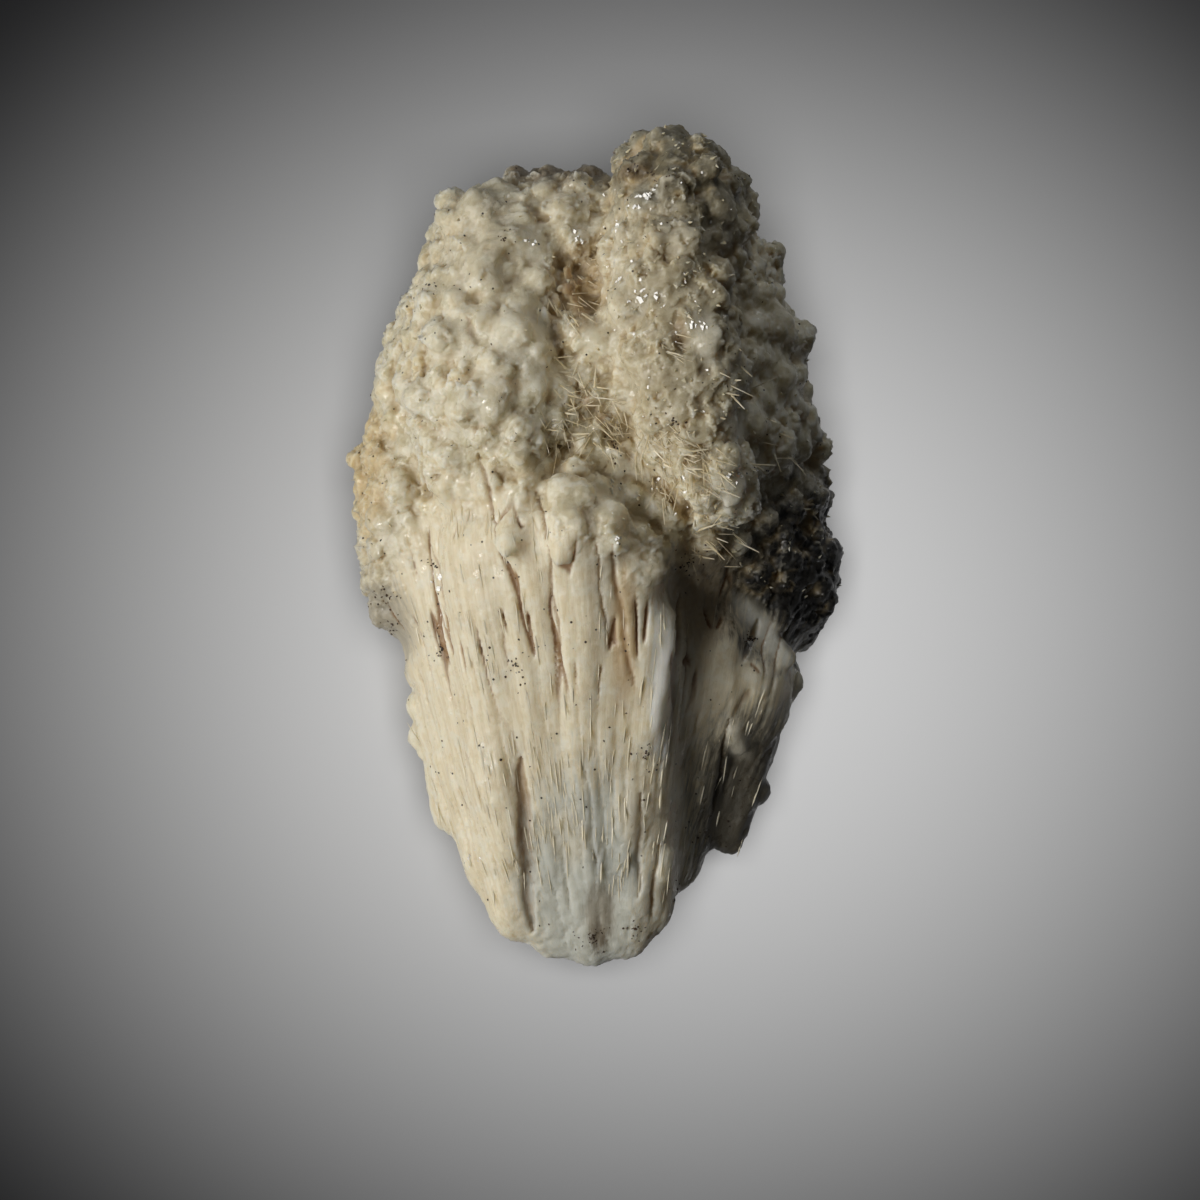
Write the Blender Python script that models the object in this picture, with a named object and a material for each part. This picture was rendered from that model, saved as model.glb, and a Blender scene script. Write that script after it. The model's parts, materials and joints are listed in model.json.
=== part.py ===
"""A calcite specimen: a spray of fibres that widens from a narrow foot into a knobbly crust.

The specimen lies on its back. X runs across it, Y from its foot to its crown, Z up from the
surface that it lies on, through its best side. It is one grown piece, so it is one solid:
lobes and fibre bundles are fused, ribs and knobs are set on them, and all is fused again.
"""

import math
import random

import bmesh
import bpy
from mathutils import Matrix, Vector
from mathutils.bvhtree import BVHTree

MM = 0.001

# Voxel sizes of the fusings, and the triangle budget of the finished solid.
BODY_VOXEL = 1.0 * MM
SKIN_VOXEL = 0.62 * MM
TRIANGLES = 11300

# Brings the middle of the finished box over the origin.
CENTRING = Vector((0.22, -0.08, 0.0)) * MM

# The fibres fan out from a point below the foot.
FAN_ORIGIN = Vector((0.5, -92.0, 9.0)) * MM

# Lobes of the mass in millimetres: centre, half-axes, lean about Z in degrees.
LOBES = {
    "foot_core": ((-2.0, -29.0, 7.5), (14.0, 18.5, 12.0), 0),
    "trunk_core": ((-2.0, -12.0, 9.0), (19.5, 21.0, 17.0), 0),
    "heart": ((0.0, 8.0, 10.0), (24.5, 21.0, 18.0), 0),
    "crown_core": ((-1.0, 25.0, 10.0), (19.0, 17.0, 15.0), 0),
    "saddle": ((-4.6, 36.4, 17.0), (11.6, 8.8, 8.5), 0),
    "hollow": ((-1.0, 21.0, 15.5), (9.0, 19.0, 13.2), 0),
    "left_lobe": ((-12.0, 18.0, 19.0), (11.6, 20.0, 13.0), 6),
    "left_crown": ((-11.4, 34.2, 17.5), (9.1, 9.5, 10.5), -12),
    "left_shoulder": ((-18.4, 22.2, 14.0), (7.2, 15.0, 10.0), -20),
    "left_cheek": ((-20.8, 4.8, 13.0), (7.8, 16.6, 10.0), 0),
    "left_fold": ((-22.9, -4.4, 11.5), (4.9, 6.7, 7.5), 4),
    "right_ridge": ((9.0, 25.0, 22.5), (8.0, 20.5, 14.5), 9),
    "right_crown": ((9.6, 38.6, 21.0), (8.0, 9.9, 12.0), 6),
    "ridge_end": ((12.4, 10.2, 24.5), (5.4, 7.2, 9.5), 20),
    "right_flank": ((15.4, 23.0, 14.5), (8.6, 18.4, 12.5), 13),
    "right_cheek": ((17.8, 3.8, 9.6), (9.4, 17.8, 9.4), 0),
    "right_jowl": ((22.0, -3.8, 9.0), (5.9, 8.0, 7.2), -8),
    "side_bulge": ((17.2, -16.6, 9.5), (6.4, 8.6, 8.6), -14),
}

# Fibre bundles: foot and head points in millimetres, with the radius at each.
BUNDLES = {
    "far_left": ((-19.0, -33.2, 10.5), (-19.8, -10.0, 13.5), 1.6, 3.8),
    "left": ((-14.1, -39.9, 11.5), (-17.6, -4.0, 18.0), 2.2, 5.6),
    "left_pillar": ((-10.3, -44.4, 12.5), (-13.0, 0.0, 23.5), 3.2, 6.6),
    "pale_left": ((-5.8, -46.8, 11.5), (-8.0, 2.0, 26.5), 3.1, 6.2),
    "pale_middle": ((-1.2, -47.6, 12.0), (-2.4, 2.0, 28.0), 3.2, 6.0),
    "pale_right": ((3.4, -46.8, 12.5), (3.0, -2.0, 26.5), 3.0, 5.0),
    "edge_pillar": ((6.4, -44.0, 13.0), (5.8, -8.0, 25.5), 2.7, 3.4),
    "shaded_front": ((9.2, -39.0, 9.5), (13.4, -11.0, 16.0), 2.9, 5.2),
    "hanging": ((15.9, -36.0, 9.0), (19.3, -16.0, 12.5), 1.7, 4.9),
    "foot_back": ((-2.6, -44.0, 7.5), (-4.0, -14.0, 9.0), 5.2, 10.0),
    "foot_back_right": ((4.4, -38.0, 7.5), (7.6, -14.0, 9.0), 4.4, 8.6),
}

# Single knobs that shape the outline: centre in millimetres and radius.
OUTLINE_KNOBS = [
    ((3.2, 46.2, 22.0), 1.8),
    ((5.4, 47.9, 23.0), 1.6),
    ((8.6, 48.4, 24.0), 1.7),
    ((12.6, 46.8, 21.0), 1.6),
    ((14.6, 43.8, 19.0), 1.7),
    ((-10.0, 44.6, 17.0), 1.6),
    ((-13.2, 42.3, 18.0), 1.6),
    ((-19.4, 37.6, 16.0), 1.6),
    ((20.4, 35.4, 16.0), 1.6),
    ((24.0, 25.6, 15.0), 2.0),
    ((26.2, 12.6, 14.0), 1.9),
    ((27.6, -5.9, 11.0), 1.4),
    ((23.2, -15.8, 11.0), 1.6),
    ((-21.7, -18.6, 12.0), 1.8),
    ((-28.4, 11.4, 13.0), 1.8),
]

# Lumps set by hand: X and Y of the spot on the front, half-sizes and lean in degrees.
FEATURES = {
    "top_finger": ((-8.0, 41.8), (1.2, 2.5, 1.6), -25),
    "rim_knob": ((-12.0, 41.8), (2.4, 1.3, 1.6), 0),
    "rim_ball": ((-15.8, 39.2), (1.8, 1.8, 1.8), 0),
    "white_oval": ((-7.8, 35.4), (1.3, 1.8, 1.5), 20),
    "smooth_lump": ((-9.4, 24.6), (3.4, 2.8, 2.2), 10),
    "left_lump": ((-17.9, 24.8), (2.4, 2.8, 2.0), -15),
    "upper_lump": ((-13.6, 32.0), (2.6, 2.2, 1.8), 30),
    "hollow_ball": ((-0.4, 24.1), (1.8, 1.8, 1.9), 0),
    "crest_ball": ((6.6, 31.6), (1.8, 1.7, 1.8), 0),
    "crest_tip": ((5.4, 40.4), (1.7, 1.6, 2.0), 0),
    "long_white_knob": ((12.2, 24.0), (1.4, 3.2, 2.0), 18),
    "crest_foot": ((14.6, 7.4), (2.2, 1.6, 1.9), -10),
    "flank_ball": ((16.9, 14.7), (1.7, 1.7, 1.7), 0),
    "flank_knob": ((21.4, 13.6), (1.9, 1.7, 1.7), 0),
    "fringe_ball": ((1.4, 6.4), (1.9, 1.8, 2.0), 0),
    "fringe_middle": ((4.4, 5.2), (1.5, 1.7, 1.8), 0),
    "fringe_right": ((7.0, 4.6), (1.4, 1.6, 1.7), 0),
    "fringe_drop": ((2.1, 1.4), (1.1, 1.8, 1.3), 0),
    "pillar_left": ((-17.2, 6.0), (2.2, 6.5, 1.3), 5),
    "pillar_middle": ((-10.4, 4.5), (2.2, 7.0, 1.2), 6),
    "pillar_right": ((-4.4, 3.0), (2.0, 6.0, 1.1), 3),
    "edge_plate": ((4.4, -31.0), (2.2, 5.0, 1.2), -4),
    "low_left_plate": ((-12.6, -30.0), (2.8, 8.5, 1.3), 12),
    "low_right_plate": ((4.6, -41.6), (1.7, 4.0, 1.1), -3),
    "sparkling_corner": ((-15.6, -37.4), (1.5, 1.8, 1.4), 20),
    "shaded_crystal": ((14.2, -16.1), (1.0, 2.6, 1.4), -14),
    "shaded_knob": ((18.4, -14.2), (1.9, 2.0, 1.7), 0),
}
FEATURE_SINK = 0.3

# Flat ledges on the front: X and Y of the centre, half-sizes, lean in degrees.
LEDGES = [
    ((19.8, -9.2), (1.4, 6.4, 1.4), 38),
    ((16.4, -22.4), (1.1, 2.7, 1.5), 22),
    ((7.9, -37.4), (1.1, 2.4, 1.3), 0),
    ((-5.2, -32.2), (0.9, 3.2, 1.0), -54),
]
LEDGE_CORNER = 0.45 * MM

# Ribs along the fan of the fibres, laid from four sides: outward direction, half-width, sink.
RIB_SIDES = [
    (Vector((0, 0, 1)), 25.0 * MM, 0.45),
    (Vector((-1, 0, 0)), 14.0 * MM, 0.75),
    (Vector((1, 0, 0)), 14.0 * MM, 0.75),
    (Vector((0, 0, -1)), 22.0 * MM, 0.6),
]
RIB_GAP = (2.2, 4.6)
RIB_RADIUS = (0.6, 1.9)
RIB_TOP = 12.0 * MM
RIB_LENGTH = 62.0 * MM
RIB_STEP = 3.6 * MM
RIB_WOBBLE = 0.5 * MM
RIB_FACING = 0.5
RIB_JUMP = 2.6 * MM

# The front edge of the knobbly crust, as X and Y of points across the specimen.
CRUST_EDGE = [
    (-40.0, -9.0),
    (-27.0, -9.0),
    (-23.5, 1.0),
    (-20.0, 6.0),
    (-14.0, 8.0),
    (-8.0, 6.0),
    (-3.0, 3.0),
    (4.0, -0.5),
    (10.0, -0.5),
    (15.0, 1.0),
    (18.0, -6.0),
    (40.0, -12.0),
]
CRUST_FADE = (-3.0, 3.0)

# Knobs: least distance between them and radius range, in millimetres, for each zone.
CRUST_KNOBS = {"spacing": 2.9, "radius": (1.2, 2.3)}
LUMPS = {"spacing": 7.5, "radius": (2.6, 4.2)}
BACK_KNOBS = {"spacing": 5.0, "radius": (1.6, 3.0)}
LUMP_TRIES = 1200
KNOB_TRIES = 12000
KNOB_SINK = 0.35
LUMP_SINK = 0.68
KNOB_SEED = 11

# Knobs and lumps are looked for by rays that aim at a line inside the specimen.
AIM_Y = (-44.0 * MM, 38.0 * MM)
AIM_Z = 13.0 * MM
FAR = 100.0 * MM

# What counts as the back, how far in millimetres its knobs go below the crust's edge, and the
# rounds of smoothing after the two coarse fusings.
BACK_FACING = -0.35
BACK_HEIGHT = 3.5 * MM
BACK_REACH = -30.0
BODY_SMOOTHING = 3
LUMP_SMOOTHING = 1

# Width and depth of the slab that cuts the flat patch at the back.
REST_SLAB = (200 * MM, 40 * MM)


def clear_scene():
    """Removes whatever the file holds."""
    for item in list(bpy.data.objects):
        bpy.data.objects.remove(item)


def add_ellipsoid(bm, centre, half_axes, lean_deg, detail=3):
    """Adds a closed ellipsoid, leaning about Z, with its sizes in millimetres."""
    place = (
        Matrix.Translation(Vector(centre) * MM)
        @ Matrix.Rotation(math.radians(lean_deg), 4, "Z")
        @ Matrix.Diagonal((*(Vector(half_axes) * MM), 1.0))
    )
    bmesh.ops.create_icosphere(bm, subdivisions=detail, radius=1.0, matrix=place)


def add_tube(bm, points, radii, sides=12):
    """Adds a closed tube with round ends through points in metres."""
    rings = []
    for index, (point, radius) in enumerate(zip(points, radii)):
        before = points[max(index - 1, 0)]
        after = points[min(index + 1, len(points) - 1)]
        turn = (after - before).to_track_quat("Z", "Y")
        rings.append(
            [
                bm.verts.new(
                    point + turn @ Vector((math.cos(a) * radius, math.sin(a) * radius, 0))
                )
                for a in (math.tau * side / sides for side in range(sides))
            ]
        )
    for ring, following in zip(rings, rings[1:]):
        for side in range(sides):
            other = (side + 1) % sides
            bm.faces.new((ring[side], ring[other], following[other], following[side]))
    bm.faces.new(list(reversed(rings[0])))
    bm.faces.new(rings[-1])


def add_bundle(bm, foot, head, foot_radius, head_radius, stations=9):
    """Adds a tapering fibre bundle between two points in millimetres, with round ends."""
    start, end = Vector(foot) * MM, Vector(head) * MM
    axis = (end - start).normalized()
    start -= axis * foot_radius * MM
    end += axis * head_radius * MM
    points, radii = [], []
    for index in range(stations):
        share = 0.5 - 0.5 * math.cos(math.pi * (index + 0.5) / stations)
        radius = (foot_radius + (head_radius - foot_radius) * share) * MM
        reach = min(share, 1 - share) * (end - start).length
        bulge = min(reach / radius, 1.0)
        points.append(start.lerp(end, share))
        radii.append(radius * math.sqrt(1 - (1 - bulge) ** 2))
    add_tube(bm, points, radii)


def place_on(tree, spot, lean_deg):
    """Returns the matrix of a spot on the front: Z is its normal, Y leans from the long axis."""
    above = Vector((*spot, 0)) * MM + Vector((0, 0, FAR))
    hit, normal, _, _ = tree.ray_cast(above, Vector((0, 0, -1)))
    lean = math.radians(lean_deg)
    along = Vector((-math.sin(lean), math.cos(lean), 0))
    along = (along - normal * along.dot(normal)).normalized()
    turn = Matrix((along.cross(normal), along, normal)).transposed()
    return Matrix.Translation(hit) @ turn.to_4x4()


def add_ledge(bm, tree, spot, half_sizes, lean_deg):
    """Adds a flat ledge with cut corners, half sunk in the front."""
    place = place_on(tree, spot, lean_deg) @ Matrix.Diagonal((*(Vector(half_sizes) * MM), 1.0))
    made = bmesh.ops.create_cube(bm, size=2.0, matrix=place)
    edges = list({edge for vert in made["verts"] for edge in vert.link_edges})
    bmesh.ops.bevel(bm, geom=edges, offset=LEDGE_CORNER, segments=1, affect="EDGES")


def add_feature(bm, tree, spot, half_sizes, lean_deg):
    """Adds a rounded lump, sunk in the front by a share of its height."""
    sizes = Vector(half_sizes) * MM
    sink = Matrix.Translation((0, 0, -sizes.z * FEATURE_SINK))
    place = place_on(tree, spot, lean_deg) @ sink @ Matrix.Diagonal((*sizes, 1.0))
    bmesh.ops.create_icosphere(bm, subdivisions=3, radius=1.0, matrix=place)


def fused(bm, name, voxel, smoothing=0):
    """Makes an object of the closed shapes in bm, fused into one skin by a voxel remesh."""
    mesh = bpy.data.meshes.new(name)
    bm.to_mesh(mesh)
    bm.free()
    item = bpy.data.objects.new(name, mesh)
    bpy.context.scene.collection.objects.link(item)
    remesh = item.modifiers.new("fuse", "REMESH")
    remesh.mode = "VOXEL"
    remesh.voxel_size = voxel
    if smoothing:
        smooth = item.modifiers.new("soften", "SMOOTH")
        smooth.factor = 0.5
        smooth.iterations = smoothing
    return item


def evaluated_bmesh(item):
    """Returns the mesh that the object's modifiers make, as a bmesh."""
    bpy.context.view_layer.update()
    bm = bmesh.new()
    bm.from_object(item, bpy.context.evaluated_depsgraph_get())
    return bm


def fused_bmesh(bm, smoothing):
    """Returns the closed shapes in bm fused into one coarse skin, as a bmesh."""
    item = fused(bm, "guide", BODY_VOXEL, smoothing)
    skin = evaluated_bmesh(item)
    bpy.data.objects.remove(item)
    return skin


def body_shapes():
    """The lobes and the fibre bundles, as one bmesh of closed shapes."""
    bm = bmesh.new()
    for centre, half_axes, lean_deg in LOBES.values():
        add_ellipsoid(bm, centre, half_axes, lean_deg)
    for foot, head, foot_radius, head_radius in BUNDLES.values():
        add_bundle(bm, foot, head, foot_radius, head_radius)
    return bm


def crust_depth(point):
    """How far in millimetres a point is inside the crust; negative on the fibres."""
    x, y = point.x / MM, point.y / MM
    for (left, low), (right, high) in zip(CRUST_EDGE, CRUST_EDGE[1:]):
        if x <= right:
            return y - (low + (high - low) * (x - left) / (right - left))
    return y - CRUST_EDGE[-1][1]


def is_behind(point, normal):
    """Whether a surface point is on the back of the specimen or near what it lies on."""
    return normal.z < BACK_FACING or point.z < BACK_HEIGHT


def scatter_knobs(bm, tree, rng, tries, crust, back, sink):
    """Sets uneven knobs over the body, with one spread on the crust and one on the back."""
    placed = []
    for _ in range(tries):
        aim = Vector((0, rng.uniform(*AIM_Y), AIM_Z))
        turn = rng.uniform(0, math.tau)
        rise = rng.uniform(-1, 1)
        across = math.sqrt(1 - rise * rise)
        outward = Vector((math.cos(turn) * across, rise, math.sin(turn) * across))
        share, edge, spin = rng.random(), rng.uniform(*CRUST_FADE), rng.uniform(0, math.tau)
        squash = rng.uniform(0.72, 1.0)
        point, normal, _, _ = tree.ray_cast(aim + outward * FAR, -outward)
        if point is None:
            continue
        behind = is_behind(point, normal)
        zone = back if behind else crust
        if crust_depth(point) < (BACK_REACH if behind else edge):
            continue
        if any((point - other).length < zone["spacing"] * MM for other in placed):
            continue
        placed.append(point)
        low, high = zone["radius"]
        size = (low + (high - low) * share) * MM
        place = (
            Matrix.Translation(point - normal * size * sink)
            @ normal.to_track_quat("Z", "Y").to_matrix().to_4x4()
            @ Matrix.Rotation(spin, 4, "Z")
            @ Matrix.Diagonal((size * squash, size, size * 1.15, 1.0))
        )
        bmesh.ops.create_icosphere(bm, subdivisions=2, radius=1.0, matrix=place)


def rib_paths(tree, rng, outward, angle, depth):
    """Follows the surface along one fibre direction, seen from outside, and yields its paths.

    The path breaks where the surface steps, turns away or goes under the crust.
    """
    across = Vector((0, 1, 0)).cross(outward)
    ray = Vector((0, 1, 0)) * math.cos(angle) + across * math.sin(angle)
    far = (RIB_TOP - FAN_ORIGIN.y) * rng.uniform(0.93, 1.06)
    distance = RIB_TOP - FAN_ORIGIN.y - RIB_LENGTH
    path = []
    while distance < far:
        spot = FAN_ORIGIN + ray * distance + across * rng.uniform(-RIB_WOBBLE, RIB_WOBBLE)
        distance += RIB_STEP
        hit, normal, _, _ = tree.ray_cast(spot + outward * FAR, -outward)
        stays = hit is not None and normal.dot(outward) > RIB_FACING and crust_depth(hit) < 0
        steps = stays and path and abs((hit - path[-1]).dot(outward)) > RIB_JUMP
        if path and (steps or not stays):
            yield path
            path = []
        if stays:
            path.append(hit - normal * depth)
    yield path


def add_ribs(bm, tree):
    """Lays ribs on the lower part, along the fan of the fibres."""
    rng = random.Random(KNOB_SEED + 1)
    reach = RIB_TOP - FAN_ORIGIN.y
    for outward, half_width, sink in RIB_SIDES:
        half_fan = math.atan2(half_width, reach)
        angle = -half_fan
        while angle < half_fan:
            size = rng.uniform(*RIB_RADIUS) * MM
            for path in rib_paths(tree, rng, outward, angle, size * sink):
                if len(path) < 4:
                    continue
                radii = [size * rng.uniform(0.8, 1.2) for _ in path]
                radii[0] = radii[-1] = size * 0.4
                add_tube(bm, path, radii, sides=8)
            angle += rng.uniform(*RIB_GAP) * MM / reach


def rest_cutter():
    """A slab under the specimen that cuts the flat patch it lies on."""
    bm = bmesh.new()
    width, depth = REST_SLAB
    slab = Matrix.Translation((0, 0, -depth / 2)) @ Matrix.Diagonal((width, width, depth, 1.0))
    bmesh.ops.create_cube(bm, size=1.0, matrix=slab)
    mesh = bpy.data.meshes.new("rest_cutter")
    bm.to_mesh(mesh)
    bm.free()
    cutter = bpy.data.objects.new("rest_cutter", mesh)
    cutter.hide_render = True
    cutter.display_type = "WIRE"
    bpy.context.scene.collection.objects.link(cutter)
    return cutter


def calcite_material():
    """Cream calcite, waxy and slightly glossy."""
    material = bpy.data.materials.new("cream_calcite")
    material.use_nodes = True
    shader = material.node_tree.nodes["Principled BSDF"]
    shader.inputs["Base Color"].default_value = (0.69, 0.63, 0.50, 1.0)
    shader.inputs["Roughness"].default_value = 0.42
    shader.inputs["Metallic"].default_value = 0.0
    return material


def build():
    """Builds the specimen."""
    clear_scene()
    rng = random.Random(KNOB_SEED)
    body = fused_bmesh(body_shapes(), BODY_SMOOTHING)
    tree = BVHTree.FromBMesh(body)
    scatter_knobs(body, tree, rng, LUMP_TRIES, LUMPS, LUMPS, LUMP_SINK)
    for spot, half_sizes, lean_deg in FEATURES.values():
        add_feature(body, tree, spot, half_sizes, lean_deg)
    skin = fused_bmesh(body, LUMP_SMOOTHING)

    tree = BVHTree.FromBMesh(skin)
    for spot, half_sizes, lean_deg in LEDGES:
        add_ledge(skin, tree, spot, half_sizes, lean_deg)
    for centre, radius in OUTLINE_KNOBS:
        add_ellipsoid(skin, centre, (radius, radius, radius), 0, detail=2)
    add_ribs(skin, tree)
    scatter_knobs(skin, tree, rng, KNOB_TRIES, CRUST_KNOBS, BACK_KNOBS, KNOB_SINK)

    calcite = fused(skin, "calcite", SKIN_VOXEL)
    calcite.location = CENTRING
    calcite.data.materials.append(calcite_material())
    whole = evaluated_bmesh(calcite)
    triangles = 2 * len(whole.faces)
    whole.free()
    thin = calcite.modifiers.new("facets", "DECIMATE")
    thin.ratio = TRIANGLES / triangles
    cut = calcite.modifiers.new("rest", "BOOLEAN")
    cut.operation = "DIFFERENCE"
    cut.object = rest_cutter()


build()
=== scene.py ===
"""Dresses the calcite specimen: its knobbly crust, its curtain of fibres and its small crystals.

The specimen lies on its back on a pale floor and the camera looks straight down on it. X runs
across it, Y from its foot to its crown, Z up. The mass follows the same lobes, fibre bundles,
knobs and ribs as the solid; the pieces made here carry it down to single crystals and fibres.
"""

import json
import logging
import math
import random
import time
from dataclasses import dataclass, field
from enum import Enum
from typing import Iterator, Sequence, Union

import bmesh
import bpy
import numpy as np
from mathutils import Matrix, Vector
from mathutils.bvhtree import BVHTree

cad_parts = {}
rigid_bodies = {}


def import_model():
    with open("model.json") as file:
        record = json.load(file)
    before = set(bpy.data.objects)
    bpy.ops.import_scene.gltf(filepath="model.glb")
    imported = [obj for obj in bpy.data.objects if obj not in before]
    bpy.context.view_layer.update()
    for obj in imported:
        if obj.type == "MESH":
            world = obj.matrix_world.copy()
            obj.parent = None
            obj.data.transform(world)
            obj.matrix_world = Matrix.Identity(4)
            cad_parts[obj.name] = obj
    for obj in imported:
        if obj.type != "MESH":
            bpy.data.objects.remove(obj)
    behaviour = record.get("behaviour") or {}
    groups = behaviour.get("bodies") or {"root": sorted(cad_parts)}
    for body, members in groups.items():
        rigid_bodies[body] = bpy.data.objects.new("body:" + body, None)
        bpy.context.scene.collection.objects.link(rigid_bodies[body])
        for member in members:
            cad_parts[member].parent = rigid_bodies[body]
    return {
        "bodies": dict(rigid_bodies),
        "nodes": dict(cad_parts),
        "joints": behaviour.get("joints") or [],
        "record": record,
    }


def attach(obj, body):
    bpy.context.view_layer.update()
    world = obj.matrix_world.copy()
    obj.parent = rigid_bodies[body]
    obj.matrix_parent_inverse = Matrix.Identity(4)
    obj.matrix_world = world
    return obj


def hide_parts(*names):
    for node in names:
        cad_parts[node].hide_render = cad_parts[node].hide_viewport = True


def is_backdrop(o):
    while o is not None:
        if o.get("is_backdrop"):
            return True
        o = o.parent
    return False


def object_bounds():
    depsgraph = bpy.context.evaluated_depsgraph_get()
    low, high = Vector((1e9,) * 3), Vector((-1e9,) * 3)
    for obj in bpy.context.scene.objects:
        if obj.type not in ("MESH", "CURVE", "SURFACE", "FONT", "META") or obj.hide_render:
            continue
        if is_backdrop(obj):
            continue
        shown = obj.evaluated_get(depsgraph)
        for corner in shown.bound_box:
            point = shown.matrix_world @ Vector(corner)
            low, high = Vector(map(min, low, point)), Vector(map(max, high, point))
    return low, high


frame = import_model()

LOG = logging.getLogger("calcite")

MM = 0.001
NODE = "calcite"
BODY = "root"
UP = Vector((0, 0, 1))
FAR = 100 * MM
SKY_RAYS = 14
GOLDEN_TURN = math.pi * (3 - math.sqrt(5))

Triple = tuple[float, float, float]
Colour = tuple[float, float, float]


class Side(Enum):
    """The sides that ribs are laid from, as outward directions."""

    FRONT = (0, 0, 1)
    LEFT = (-1, 0, 0)
    RIGHT = (1, 0, 0)
    BACK = (0, 0, -1)

    @property
    def outward(self) -> Vector:
        """The outward direction as a vector."""
        return Vector(self.value)


def srgb(red: int, green: int, blue: int) -> Colour:
    """Turns a display colour into the linear colour that a shader takes.

    Args:
        red: Red from 0 to 255.
        green: Green from 0 to 255.
        blue: Blue from 0 to 255.

    Returns:
        The linear colour.
    """
    shares = (red / 255, green / 255, blue / 255)
    return tuple(s / 12.92 if s <= 0.04045 else ((s + 0.055) / 1.055) ** 2.4 for s in shares)


class Wire:
    """A socket of a node tree. Arithmetic on it adds Math nodes."""

    def __init__(self, tree: "NodeBench", socket: bpy.types.NodeSocket) -> None:
        """Holds a socket and the bench that its tree is built on."""
        self.tree = tree
        self.socket = socket

    def __add__(self, other: "Value") -> "Wire":
        """Adds."""
        return self.tree.maths("ADD", self, other)

    def __radd__(self, other: "Value") -> "Wire":
        """Adds, from the right."""
        return self.tree.maths("ADD", other, self)

    def __sub__(self, other: "Value") -> "Wire":
        """Subtracts."""
        return self.tree.maths("SUBTRACT", self, other)

    def __rsub__(self, other: "Value") -> "Wire":
        """Subtracts, from the right."""
        return self.tree.maths("SUBTRACT", other, self)

    def __mul__(self, other: "Value") -> "Wire":
        """Multiplies."""
        return self.tree.maths("MULTIPLY", self, other)

    def __rmul__(self, other: "Value") -> "Wire":
        """Multiplies, from the right."""
        return self.tree.maths("MULTIPLY", other, self)

    def __truediv__(self, other: "Value") -> "Wire":
        """Divides."""
        return self.tree.maths("DIVIDE", self, other)

    def __rtruediv__(self, other: "Value") -> "Wire":
        """Divides, from the right."""
        return self.tree.maths("DIVIDE", other, self)

    def __pow__(self, other: "Value") -> "Wire":
        """Raises to a power."""
        return self.tree.maths("POWER", self, other)


Value = Union[Wire, float, int]


class Made:
    """A node that a bench has made; its outputs are read by name or place."""

    def __init__(self, bench: "NodeBench", node: bpy.types.Node) -> None:
        """Holds the node and its bench."""
        self.bench = bench
        self.node = node

    def __getitem__(self, name: Union[str, int]) -> Wire:
        """Returns an output as a wire."""
        return Wire(self.bench, self.node.outputs[name])


class NodeBench:
    """Builds the nodes of one shader or geometry tree."""

    def __init__(self, tree: bpy.types.NodeTree) -> None:
        """Starts on a tree, emptied of what it held."""
        tree.nodes.clear()
        self.tree = tree

    def node(
        self,
        kind: str,
        settings: dict[str, object] | None = None,
        inputs: dict[Union[str, int], object] | None = None,
    ) -> Made:
        """Makes a node.

        Args:
            kind: The node's type.
            settings: The node's own settings, set first. A ramp's stops are pairs of place and
                colour under "stops".
            inputs: Values or wires for its sockets, by name or place.

        Returns:
            The node.
        """
        node = self.tree.nodes.new(kind)
        for name, value in (settings or {}).items():
            if name == "stops":
                self._set_stops(node.color_ramp, value)
            else:
                setattr(node, name, value)
        for name, value in (inputs or {}).items():
            if isinstance(value, Wire):
                self.tree.links.new(value.socket, node.inputs[name])
            else:
                node.inputs[name].default_value = value
        return Made(self, node)

    @staticmethod
    def _set_stops(ramp: bpy.types.ColorRamp, stops: Sequence[tuple[float, Colour]]) -> None:
        """Gives a ramp its stops."""
        while len(ramp.elements) < len(stops):
            ramp.elements.new(1.0)
        for element, (place, colour) in zip(ramp.elements, stops):
            element.position = place
            element.color = (*colour, 1.0)

    def maths(self, operation: str, *values: Value, clamp: bool = False) -> Wire:
        """Adds a Math node on the values and returns its result."""
        settings = {"operation": operation, "use_clamp": clamp}
        return self.node("ShaderNodeMath", settings, dict(enumerate(values)))[0]

    def vector_maths(self, operation: str, *values: object) -> Made:
        """Adds a Vector Math node on the values."""
        return self.node("ShaderNodeVectorMath", {"operation": operation}, dict(enumerate(values)))

    def ease(self, value: Value, low: Value, high: Value) -> Wire:
        """Goes smoothly from 0 at low to 1 at high."""
        inputs = {"Value": value, "From Min": low, "From Max": high}
        return self.node("ShaderNodeMapRange", {"interpolation_type": "SMOOTHSTEP"}, inputs)[0]

    def mix(self, factor: Value, first: object, second: object, blend: str = "MIX") -> Wire:
        """Mixes two colours."""
        settings = {"data_type": "RGBA", "blend_type": blend}
        sides = [c if isinstance(c, Wire) else (*c, 1.0) for c in (first, second)]
        inputs = {0: factor, 6: sides[0], 7: sides[1]}
        return self.node("ShaderNodeMix", settings, inputs)[2]

    def scaled(self, vector: Wire, amount: Union[float, Triple]) -> Wire:
        """Scales a vector, by one number or along each axis."""
        if isinstance(amount, tuple):
            return self.vector_maths("MULTIPLY", vector, amount)[0]
        inputs = {0: vector, "Scale": amount}
        return self.node("ShaderNodeVectorMath", {"operation": "SCALE"}, inputs)[0]

    def noise(self, vector: Wire, scale: float, detail: float = 2.0, rough: float = 0.5) -> Wire:
        """Adds a Noise Texture on a vector and returns its value, about 0 to 1."""
        inputs = {"Vector": vector, "Scale": scale, "Detail": detail, "Roughness": rough}
        return self.node("ShaderNodeTexNoise", {}, inputs)[0]


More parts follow.
